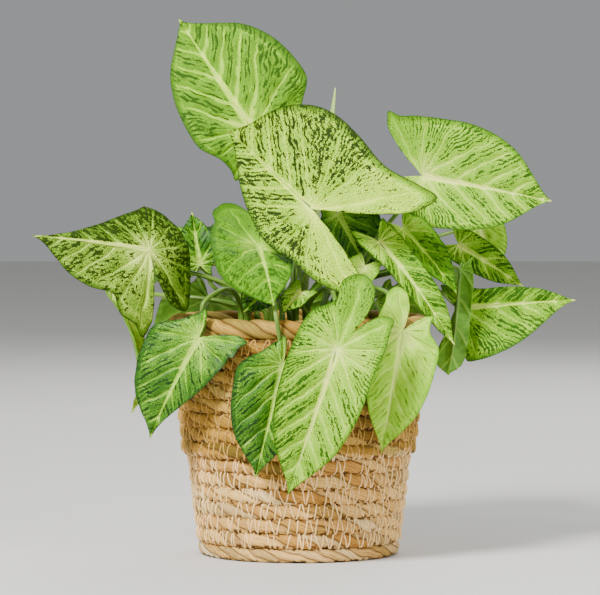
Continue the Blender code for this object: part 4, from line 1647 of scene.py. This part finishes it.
@dataclass
class Leaf:
    """A leaf grown to its finish: a quilted blade and its petiole.

    Lengths are in metres. The charts' shifts move each leaf's and each half's UV map away from
    the others, in centimetres. near_midrib and near_petiole keep the vein counts off the midrib
    and the petiole's end, where all the veins meet.
    """
    shape: LeafShape
    number: int
    socket: Vector
    columns: int = 112
    half_rows: int = 13
    samples: int = 360
    thickness: float = 0.0005
    sharp_angle: float = 50.0
    vein_spacing: float = 0.017
    fan_step: float = 32.0
    near_midrib: float = 0.03
    near_petiole: float = 0.02
    quilt: float = 0.0008
    quilt_reach: float = 1.08
    groove_width: float = 0.1
    crease: float = 0.0005
    crease_width: float = 0.0011
    ripples: float = 2.2
    ripple_shift: float = 0.4
    flutter: float = 0.0011
    flutter_waves: Pair = (4.0, 2.7)
    flutter_step: float = 3.3
    frill: float = 0.0006
    frills: float = 13.0
    frill_waves: Pair = (1.3, 2.0)
    frill_edge: int = 6
    lobe_fade: float = 3.0
    tint_fade: float = 0.4
    flat_shifts: Pair = (31.0, 17.0)
    lay_shifts: Pair = (37.0, 19.0)
    petiole_foot: float = 0.0019
    petiole_head: float = 0.0012
    petiole_sides: int = 12
    midrib_end: float = 0.00028
    midrib_stops: tuple[float, ...] = (0.0, 0.16, 0.36, 0.58, 0.8)
    midrib_taper: float = 0.6
    midrib_drop: float = 0.0006

    def __post_init__(self) -> None:
        """Fit the leaf and lay out its columns evenly along the margin."""
        self.fit = LeafFrame(self.shape)
        self.outlines = half_outline(self.shape, 0), half_outline(self.shape, 1)
        self.shares = [self.lay_columns(side) for side in (0, 1)]
        self.first_vein = math.atan(1 / VEIN_RISE)
        self.fans = [max(2, round((spread - math.degrees(self.first_vein)) / self.fan_step))
                     for spread in self.shape.spread]

    def lay_columns(self, side: int) -> list[float]:
        """Lay out the columns of one half evenly.

        Args:
            side: Half of the blade, 0 left and 1 right.

        Returns:
            Shares of the half's margin at which its columns stand.
        """
        outline = self.outlines[side]
        places = [spline_point(outline, index / self.samples) for index in range(self.samples + 1)]
        lengths = [0.0]
        for before, after in zip(places, places[1:]):
            lengths.append(lengths[-1] + (after - before).length)
        shares, index = [], 0
        for column in range(self.columns + 1):
            goal = lengths[-1] * column / self.columns
            while index < self.samples - 1 and lengths[index + 1] < goal:
                index += 1
            part = (goal - lengths[index]) / max(lengths[index + 1] - lengths[index], MERGE_DISTANCE)
            shares.append(min(1.0, (index + min(part, 1.0)) / self.samples))
        return shares

    def veins(self, side: int, flat: Vector) -> Pair:
        """Main side veins at a flat point.

        Args:
            side: Half of the blade.
            flat: The flat point.

        Returns:
            How many there are from the lobe's own vein to the point, growing towards the tip, and
            how many metres there lie between two of them.
        """
        x, y = (flat.x if side else -flat.x), flat.y
        root = y - VEIN_RISE * x - VEIN_CURVE * x * x
        if root >= 0:
            count = self.fans[side] + root * self.fit.scale / self.vein_spacing
            return count, self.vein_spacing / math.hypot(1.0, VEIN_RISE + 2 * VEIN_CURVE * x)
        angle = math.atan2(x, y) % math.tau + LOBE_CURVE * flat.length
        basal = math.radians(self.shape.spread[side])
        step = (basal - self.first_vein) / self.fans[side]
        return (basal - angle) / step, step * max(flat.length, self.near_petiole) * self.fit.scale

    def spot(self, column: int, row: int, face_row: int) -> tuple[int, int, float]:
        """Half, column and share across it of a grid vertex, as a face on one half has it."""
        side = 1 if face_row >= self.half_rows else 0
        return side, column, abs(row - self.half_rows) / self.half_rows

    def flat(self, side: int, column: int, across: float) -> Vector:
        """Flat place of a vertex.

        Args:
            side: Half of the blade, the left one to the left.
            column: Column of the half.
            across: Share of the way from the midrib to the margin.

        Returns:
            The flat point.
        """
        flat = flat_point(self.outlines[side], self.shares[side][column], across)
        if side == 0:
            flat.x = -flat.x
        return flat

    def lift(self, side: int, column: int, across: float) -> float:
        """Height of the blade's relief: ripples, quilting between the veins and sunk veins.

        Args:
            side: Half of the blade.
            column: Column of the half.
            across: Share of the way from the midrib to the margin.

        Returns:
            The height in metres.
        """
        share, flat = self.shares[side][column], self.flat(side, column, across)
        turns = self.ripples * share + self.ripple_shift * side
        ripple = self.shape.wave * across ** 2 * math.sin(math.tau * turns)
        count, _ = self.veins(side, self.flat(side, column, max(across, self.near_midrib)))
        gap = abs((count + 0.5) % 1.0 - 0.5)
        quilt = self.quilt * math.sin(math.pi * min(1.0, across * self.quilt_reach))
        raised = quilt * (1 - (1 - 2 * gap) ** 2) - quilt * math.exp(-(gap / self.groove_width) ** 2)
        crease = self.crease * math.exp(-(flat.x * self.fit.scale / self.crease_width) ** 2)
        if flat.y <= 0:
            crease = 0.0
        slow, fine = self.flutter_waves
        where = Vector((flat.x * slow, flat.y * slow, self.number * self.flutter_step))
        wobble = self.flutter * (across * noise.noise(where) + 0.5 * noise.noise(where * fine))
        slow, fine = self.frill_waves
        phase = self.frills * share + noise.noise(where * slow)
        edge = self.frill * across ** self.frill_edge * math.sin(math.tau * phase)
        edge *= 0.5 + noise.noise(where * fine)
        return ripple * self.fit.scale + raised - crease + wobble + edge

    def build_blade(self, materials: Sequence[Material]) -> Piece:
        """Make the blade as a thin solid with its own upper and lower finish.

        Args:
            materials: The upper and the lower side's material.

        Returns:
            The blade.
        """
        centimetres = self.fit.scale * CENTIMETRES

        def place(column: int, row: int) -> Vector:
            """Vertex in its folded and bent place."""
            spot = self.spot(column, row, row)
            return self.fit.place(self.flat(*spot), self.lift(*spot))

        def chart(column: int, row: int, face_row: int) -> dict[str, Pair]:
            """Values of the blade's UV maps, shifted so that no two leaves or halves match.

            Args:
                column: Column of the half.
                row: Row of the vertex.
                face_row: Row of the face, which says the half.

            Returns:
                veins: main veins from the lobe's own, and the share of the way to the margin; lay:
                centimetres between main veins, and along them; flat: the flat place in centimetres;
                reach: leaf lengths from the petiole, and centimetres from the midrib; tint: how
                much paler this half is than the leaf's finish, fading out to the tip.
            """
            side, column, across = self.spot(column, row, face_row)
            flat, beside, root, margin = (self.flat(side, column, share) for share in
                                          (across, max(across, self.near_midrib), 0.0, 1.0))
            count, gap = self.veins(side, beside)
            run = across * (margin - root).length * centimetres
            tint = self.shape.tint[side] * eased(0.0, self.tint_fade, self.shares[side][column])
            return {"veins": (count, across),
                    "lay": (gap * CENTIMETRES,
                            run + self.lay_shifts[0] * self.number + self.lay_shifts[1] * side),
                    "flat": tuple(way * centimetres + shift * self.number
                                  for way, shift in zip(flat, self.flat_shifts)),
                    "reach": (flat.length, (abs(flat.x) + max(0.0, -self.lobe_fade * flat.y)) * centimetres),
                    "tint": (tint, 0.0)}

        blade = formed(f"{self.shape.name}_blade", self.columns, 2 * self.half_rows, place, materials, chart)
        shell = blade.modifiers.new("thickness", "SOLIDIFY")
        shell.thickness = self.thickness
        shell.offset = 0.0
        shell.material_offset = 1
        return bake(blade, self.sharp_angle)

    def midrib_radius(self, share: float) -> float:
        """Radius of the midrib at a share of its length under the blade."""
        return mixed(self.petiole_head, self.midrib_end, min(1.0, share) ** self.midrib_taper)

    def build_petiole(self, finish: Material) -> Piece:
        """Make the petiole from its crown, which runs on as the midrib under the blade.

        Args:
            finish: Material of the petiole.

        Returns:
            The new piece.
        """
        fold = math.radians(min(0, *self.shape.fold))
        under = []
        for reach in self.midrib_stops:
            depth = self.midrib_radius(reach / self.midrib_stops[-1]) + self.midrib_drop
            under.append(self.fit.place(Vector((0.0, reach)), -depth / math.cos(fold)))
        base = stem_base(self.socket)
        last = mm(*self.shape.via[-1]) if self.shape.via else base[-1]
        home, below, behind = ELBOW_LEAN
        arrival = (last - under[0]).normalized() * home - self.fit.face * below - self.fit.along * behind
        elbow = under[0] + arrival.normalized() * ELBOW_REACH
        stops = base + [mm(*point) for point in self.shape.via] + [elbow] + under
        route = smooth_route(stops, ROUTE_SPACING)
        head = min(range(len(route)), key=lambda index: (route[index] - under[0]).length)
        radii = []
        for index in range(len(route)):
            if index <= head:
                share = index / head
                radii.append(mixed(self.petiole_foot, self.petiole_head, 1 - (1 - share) ** 2))
            else:
                radii.append(self.midrib_radius((index - head) / (len(route) - 1 - head)))
        return tube(f"{self.shape.name}_petiole", route, radii, self.petiole_sides, [finish])


P, L, F, S, M, G, D = LeafStyle
LEAVES = (
    LeafShape("leaf_top_left", 5, P, at=(-27, -5, 244), tip=(-69, 12, 307),
              width=(0.40, 0.55), lobe=(0.40, 0.5), spread=(130, 128), fold=(10, 8)),
    LeafShape("leaf_centre", 0, S, at=(7, -62, 199), tip=(-40, -22, 243),
              width=(0.41, 0.63), taper=(2.0, 0.85), shoulder=(0.7, 0.68), lobe=(0.78, 0.93),
              spread=(163, 134), fold=(12, 8)),
    LeafShape("leaf_top_right", 2, L, at=(71, -15, 217), tip=(143, -25, 203), face=(0, -1, 0.1),
              width=(0.46, 0.38), lobe=(0.58, 0.3), spread=(130, 158)),
    LeafShape("leaf_left", 1, M, at=(-84, -50, 176), tip=(-147, -68, 184), face=(0, -1, 0.3),
              taper=(1.0, 3.6), shoulder=(0.82, 0.75), lobe=(0.74, 0.64),
              breadth=(1.0, 1.6), spread=(98, 227), fold=(-10, -14), curl=(-6, -6), tint=(0.2, -0.02)),
    LeafShape("leaf_low_left", 1, D, at=(-56, -62, 127), tip=(-84, -48, 70), face=(-0.3, -1, 0),
              width=(0.34, 0.39), taper=(2.3, 1.0), lobe=(0.45, 0.26), spread=(114, 165),
              via=((-46, -50, 152), (-54, -60, 145))),
    LeafShape("leaf_front_dark", 0, D, at=(-9, -84, 113), tip=(-24, -80, 51),
              width=(0.25, 0.38), lobe=(0.25, 0.26), spread=(150, 170),
              via=((-14, -62, 150), (-13, -79, 142))),
    LeafShape("leaf_front_pale", 0, L, at=(21, -96, 123), tip=(-6, -86, 42),
              width=(0.28, 0.29), shoulder=(0.8, 0.64), lobe=(0.40, 0.50), breadth=(1.5, 2.2),
              spread=(136, 186), tint=(0.04, -0.06), via=((18, -66, 154), (20, -84, 148))),
    LeafShape("leaf_front_green", 2, G, at=(58, -66, 131), tip=(46, -64, 63),
              width=(0.31, 0.24), lobe=(0.27, 0.36), breadth=(1.0, 2.4), spread=(124, 165),
              via=((44, -46, 154), (53, -60, 148))),
    LeafShape("leaf_middle", 0, F, at=(-23, -40, 177), tip=(-14, -85, 146), face=(0.1, -0.6, 0.8),
              width=(0.3, 0.52), taper=(1, 0.4), shoulder=(0.7, 0.8), lobe=(0.6, 0.8), breadth=(1.0, 2.5),
              spread=(155, 168), bend=(25, -25)),
    LeafShape("leaf_right_folded", 2, L, at=(45, -42, 180), tip=(87, -55, 123), face=(0.3, -0.9, 0.3),
              width=(0.15, 0.15), taper=(0.7, 0.7), lobe=(0.2, 0.25), spread=(130, 130), fold=(30, 30),
              tint=(-0.12, -0.08)),
    LeafShape("leaf_right_narrow", 2, F, at=(59, -25, 187), tip=(89, -38, 151), face=(0.3, -0.9, 0.3),
              width=(0.26, 0.26), lobe=(0.25, 0.25), spread=(130, 130), fold=(30, 30)),
    LeafShape("leaf_low_right", 2, L, at=(95, 0, 141), tip=(158, -8, 146), face=(0, -1, 0.2),
              width=(0.16, 0.5), taper=(0.8, 1.6), lobe=(0.3, 0.5), spread=(130, 118), tint=(-0.24, -0.1),
              via=((64, -4, 153), (82, -1, 150))),
    LeafShape("leaf_right_far", 4, L, at=(93, 20, 177), tip=(130, 15, 153), face=(0, -1, 0.2),
              width=(0.24, 0.24), lobe=(0.3, 0.3), tint=(-0.14, -0.14)),
    LeafShape("leaf_right_hanging", 4, G, at=(93, -14, 164), tip=(85, -28, 104), face=(1, 0.3, 0),
              width=(0.2, 0.12), taper=(0.2, 0.25), lobe=(0.15, 0.15), fold=(20, 50), bend=(10, 20),
              twist=50),
    LeafShape("leaf_far_plain", 4, G, at=(106, 45, 190), tip=(116, 45, 160), face=(0, -1, 0.2)),
    LeafShape("leaf_far_young", 1, D, at=(-57.5, 10, 166), tip=(-62, 14, 196), face=(0, -1, 0.2),
              width=(0.35, 0.35), lobe=(0.3, 0.3)),
    LeafShape("leaf_young_left", 0, L, at=(1, -58, 152), tip=(-9, -70, 141), face=(0, -0.8, 0.6),
              width=(0.38, 0.38)),
    LeafShape("leaf_young_far", 1, D, at=(-20, -40, 150), tip=(-31, -54, 141), face=(0, -0.8, 0.6),
              width=(0.5, 0.5)),
    LeafShape("leaf_young_right", 2, G, at=(37, -36, 166), tip=(27, -46, 152), face=(0, -0.8, 0.6),
              width=(0.5, 0.5)),
    LeafShape("leaf_hanging_left", 3, G, at=(-110, 30, 149), tip=(-98, 40, 78), face=(1, -0.3, 0.2),
              width=(0.16, 0.16), lobe=(0.2, 0.2), bend=(60, 20), via=((-40, 22, 143), (-68, 26, 147))),
    LeafShape("leaf_back_left", 1, M, at=(-56, 54, 163), tip=(-96, 92, 148), face=(-0.3, 0.3, 1)),
    LeafShape("leaf_back_high", 3, P, at=(-24, 45, 184), tip=(-42, 100, 172), face=(-0.1, 0.2, 1)),
    LeafShape("leaf_back_middle", 5, S, at=(5, 55, 210), tip=(10, 118, 203), face=(0, 0.2, 1)),
    LeafShape("leaf_back_right", 4, M, at=(40, 50, 200), tip=(75, 100, 188), face=(0.2, 0.2, 1)),
    LeafShape("leaf_back_far_right", 4, S, at=(66, 64, 162), tip=(100, 98, 146), face=(0.3, 0.3, 1)),
    LeafShape("leaf_back_low_left", 3, D, at=(-54, 70, 144), tip=(-76, 90, 92), face=(-0.4, 0.9, 0.1),
              lobe=(0.3, 0.3), via=((-40, 58, 154),)),
    LeafShape("leaf_back_low_middle", 3, G, at=(0, 88, 138), tip=(5, 92, 66), face=(0, 1, 0),
              width=(0.36, 0.36), lobe=(0.3, 0.3), via=((-5, 66, 154), (-4, 81, 148))),
    LeafShape("leaf_back_low_right", 4, L, at=(46, 74, 142), tip=(62, 94, 86), face=(0.4, 0.9, 0.1),
              lobe=(0.3, 0.3), via=((36, 61, 154),)),
    LeafShape("leaf_back_top", 5, P, at=(-2, 36, 226), tip=(20, 90, 234), face=(-0.1, -0.2, 1)),
    LeafShape("leaf_inner_dark", 2, D, at=(23, 16, 195), tip=(41, 5, 159), face=(0, -1, 0.2),
              width=(0.5, 0.5), lobe=(0.3, 0.3)),
    LeafShape("leaf_side_left", 3, P, at=(-76, 24, 178), tip=(-118, 58, 176), face=(-0.2, 0, 1)),
)


@dataclass
class Plant:
    """The plant: crowns in the soil, the leaves that grow from them and the leaf still rolled up.

    scars are the depth and the number of a crown's rings, and knobs the height of its knobs and
    their waves round and down it. The rolled leaf's tapers are those of its foot and its tip.
    """
    crowns: tuple[Vector, ...] = (mm(0, -26, 0), mm(-28, -8, 0), mm(27, -10, 0), mm(-14, 24, 0),
                                  mm(18, 27, 0), mm(0, 2, 0))
    crown_radius: float = 0.0085
    crown_rise: float = 0.008
    crown_depth: float = 0.006
    crown_faces: tuple[int, int] = (28, 22)
    crown_dome: float = 2.2
    scars: Pair = (0.05, 40.0)
    knobs: Point = (0.12, 1.6, 3.0)
    knob_step: float = 4.0
    crown_chart: Pair = (0.06, 1.6)
    socket_ring: float = 0.0052
    rolled_crown: int = 5
    rolled_stops: tuple[Point, ...] = ((6, 4, 170), (16, 8, 225), (21, 10, 268))
    rolled_radius: float = 0.0026
    rolled_tip: float = 0.0004
    rolled_tapers: Pair = (1.5, 1.6)
    rolled_sides: int = 16
    # The petiole's own greens, darkened in part as painted shade of the plant's shaded inside
    petiole_finish: StemFinish = StemFinish("petiole", pale=tone(124, 160, 60), green=tone(74, 114, 30))
    crown_finish: StemFinish = StemFinish("crown", pale=tone(150, 160, 96), green=tone(104, 110, 56))
    rolled_finish: StemFinish = StemFinish("rolled_leaf", pale=tone(196, 216, 130), green=tone(136, 178, 74))

    def sockets(self, centre: Vector, goals: Sequence[Vector]) -> list[Vector]:
        """Places on a crown where its petioles stand.

        Args:
            centre: The crown's middle.
            goals: Where each petiole heads.

        Returns:
            A place for each goal: the lowest choose first, each the free one nearest its side.
        """
        free = []
        for index in range(len(goals)):
            angle = math.tau * (index + 0.5) / len(goals)
            free.append(centre + ring_point(self.socket_ring, angle, 0.0))
        chosen = [centre] * len(goals)
        for index in sorted(range(len(goals)), key=lambda place: goals[place].z):
            side = (goals[index] - centre).xy
            chosen[index] = min(free, key=lambda socket: (socket - centre).xy.angle(side))
            free.remove(chosen[index])
        return chosen

    def build_crown(self, number: int, finish: Material) -> Piece:
        """Make one crown: a knobbly stub with ring scars, rounded on top.

        Args:
            number: Number of the crown.
            finish: Material of the crown.

        Returns:
            The new piece.
        """
        top, bottom = SoilBed.level + self.crown_rise, SoilBed.level - self.crown_depth
        sectors, rings = self.crown_faces
        scar_depth, scars = self.scars
        knob_height, round_waves, down_waves = self.knobs

        def place(column: int, row: int) -> Vector:
            """Vertex on the stub, from its top to its foot in the soil.

            Args:
                column: Sector of the stub.
                row: Ring of the stub.

            Returns:
                The vertex's place.
            """
            angle = math.tau * (column % sectors) / sectors
            share = row / rings
            if row == rings:
                return self.crowns[number] + Vector((0.0, 0.0, bottom))
            inward = 1 - min(1.0, share * self.crown_dome)
            knob = noise.noise(ring_point(round_waves, angle, share * down_waves + number * self.knob_step))
            radius = self.crown_radius * math.sqrt(max(0.0, 1 - inward ** 2))
            radius *= 1 + scar_depth * math.sin(share * scars) + knob_height * knob
            return self.crowns[number] + ring_point(radius, angle, mixed(top, bottom, share))

        def chart(column: int, row: int, _: int) -> dict[str, Pair]:
            """Chart of the stub for its streaks."""
            return {"stem": (row * self.crown_chart[0], column / sectors * self.crown_chart[1])}

        return formed(f"crown_{number + 1}_stub", sectors, rings, place, [finish], chart, turn_out=True)

    def build_rolled(self, socket: Vector, finish: Material) -> Piece:
        """Make the new leaf, rolled to a point on its petiole.

        Args:
            socket: Where its petiole stands.
            finish: Material of the leaf.

        Returns:
            The new piece.
        """
        stops = [mm(*point) for point in self.rolled_stops]
        route = smooth_route(stem_base(socket) + stops, ROUTE_SPACING)
        low, swell = stops[0].z, stops[-2].z
        swelling, narrowing = self.rolled_tapers
        radii = []
        for place in route:
            if place.z < swell:
                share = max(0.0, (place.z - low) / (swell - low))
                radii.append(mixed(Leaf.petiole_head, self.rolled_radius, share ** swelling))
            else:
                share = (place.z - swell) / (route[-1].z - swell)
                radii.append(mixed(self.rolled_radius, self.rolled_tip, share ** narrowing))
        return tube("leaf_rolled_spear", route, radii, self.rolled_sides, [finish])

    def build(self) -> None:
        """Make every crown, leaf and petiole."""
        uppers = {style: finish.build(style.value) for style, finish in LEAF_FINISHES.items()}
        underside = UndersideFinish().build()
        petiole = self.petiole_finish.build()
        crown_finish = self.crown_finish.build()
        spear = self.rolled_finish.build()
        number = 0
        for crown, centre in enumerate(self.crowns):
            grown = [leaf for leaf in LEAVES if leaf.crown == crown]
            goals = [mm(*(leaf.via[0] if leaf.via else leaf.at)) for leaf in grown]
            if crown == self.rolled_crown:
                goals.append(mm(*self.rolled_stops[0]))
            places = self.sockets(centre, goals)
            dress(self.build_crown(crown, crown_finish), "crown_green", f"crown_{crown + 1}")
            for shape, place in zip(grown, places):
                number += 1
                leaf = Leaf(shape, number, place)
                blade = leaf.build_blade([uppers[shape.style], underside])
                dress(blade, shape.style.slot, shape.name)
                dress(leaf.build_petiole(petiole), shape.style.slot, shape.name)
                log.info("%s: %d faces", blade.name, len(blade.data.polygons))
            if crown == self.rolled_crown:
                dress(self.build_rolled(places[-1], spear), "plain_leaf", "leaf_rolled")


# Studio

class StudioLight(Enum):
    """The studio's lights: place in metres, power in watts and size across in metres."""
    KEY = ((-0.9, -1.5, 1.5), 100.0, 0.6)
    FILL = ((1.5, -1.2, 0.7), 22.0, 1.4)
    BACK = ((0.4, 1.4, 1.3), 20.0, 1.2)


@dataclass
class Studio:
    """Pale floor, soft lights and the camera at the photograph's angle."""
    camera_place: Point = (0.0006, -2.0, 0.224)
    camera_pitch: float = -2.2
    lens: float = 208.49
    sensor: float = 36.0
    farthest: float = 20.0
    aim: Point = (0.0, 0.0, 0.14)
    floor_size: float = 6.0
    floor_place: Point = (0.0, 0.0, -0.0002)
    floor_colour: Colour = tone(222, 220, 216)
    floor_roughness: float = 0.7
    floor_gloss: float = 0.2
    sky_colour: Colour = tone(236, 238, 240)
    sky_strength: float = 0.38

    def build(self) -> None:
        """Make the floor, the lights, the even light from all round and the camera."""
        self.build_floor()
        for light in StudioLight:
            self.add_light(light)
        world = bpy.data.worlds.new("studio")
        world.use_nodes = True
        sky = world.node_tree.nodes["Background"]
        sky.inputs["Color"].default_value = self.sky_colour
        sky.inputs["Strength"].default_value = self.sky_strength
        bpy.context.scene.world = world
        self.add_camera()

    def build_floor(self) -> None:
        """Make the floor sheet, a little below the basket's foot so that they don't flicker."""
        bm = bmesh.new()
        bmesh.ops.create_grid(bm, x_segments=2, y_segments=2, size=self.floor_size,
                              matrix=Matrix.Translation(self.floor_place))
        finish = Shader("studio_floor").finish(self.floor_colour, self.floor_roughness, self.floor_gloss)
        add_piece("studio_floor", bm, [finish])

    def add_light(self, light: StudioLight) -> None:
        """Add a soft area light that faces the plant.

        Args:
            light: The light to add.
        """
        place, power, size = light.value
        data = bpy.data.lights.new(light.name.lower(), "AREA")
        data.energy = power
        data.shape = "DISK"
        data.size = size
        made = bpy.data.objects.new(data.name, data)
        made.location = place
        aim = Vector(self.aim) - Vector(place)
        made.rotation_euler = aim.to_track_quat("-Z", "Y").to_euler()
        bpy.context.scene.collection.objects.link(made)

    def add_camera(self) -> None:
        """Add the camera, level with the leaves and looking slightly down."""
        data = bpy.data.cameras.new("camera")
        data.lens = self.lens
        data.sensor_width = self.sensor
        data.clip_end = self.farthest
        camera = bpy.data.objects.new("camera", data)
        camera.location = self.camera_place
        camera.rotation_euler = (math.radians(SQUARE_TURN + self.camera_pitch), 0.0, 0.0)
        bpy.context.scene.collection.objects.link(camera)
        bpy.context.scene.camera = camera


def main() -> None:
    """Build the studio, the basket, the pot, the soil and the plant, in that order."""
    logging.basicConfig(level=logging.INFO, format="%(message)s")
    for part in (Studio(), Basket(), NurseryPot(), SoilBed(), Plant()):
        part.build()
        log.info("built the %s", type(part).__name__)


if __name__ == "__main__":
    main()
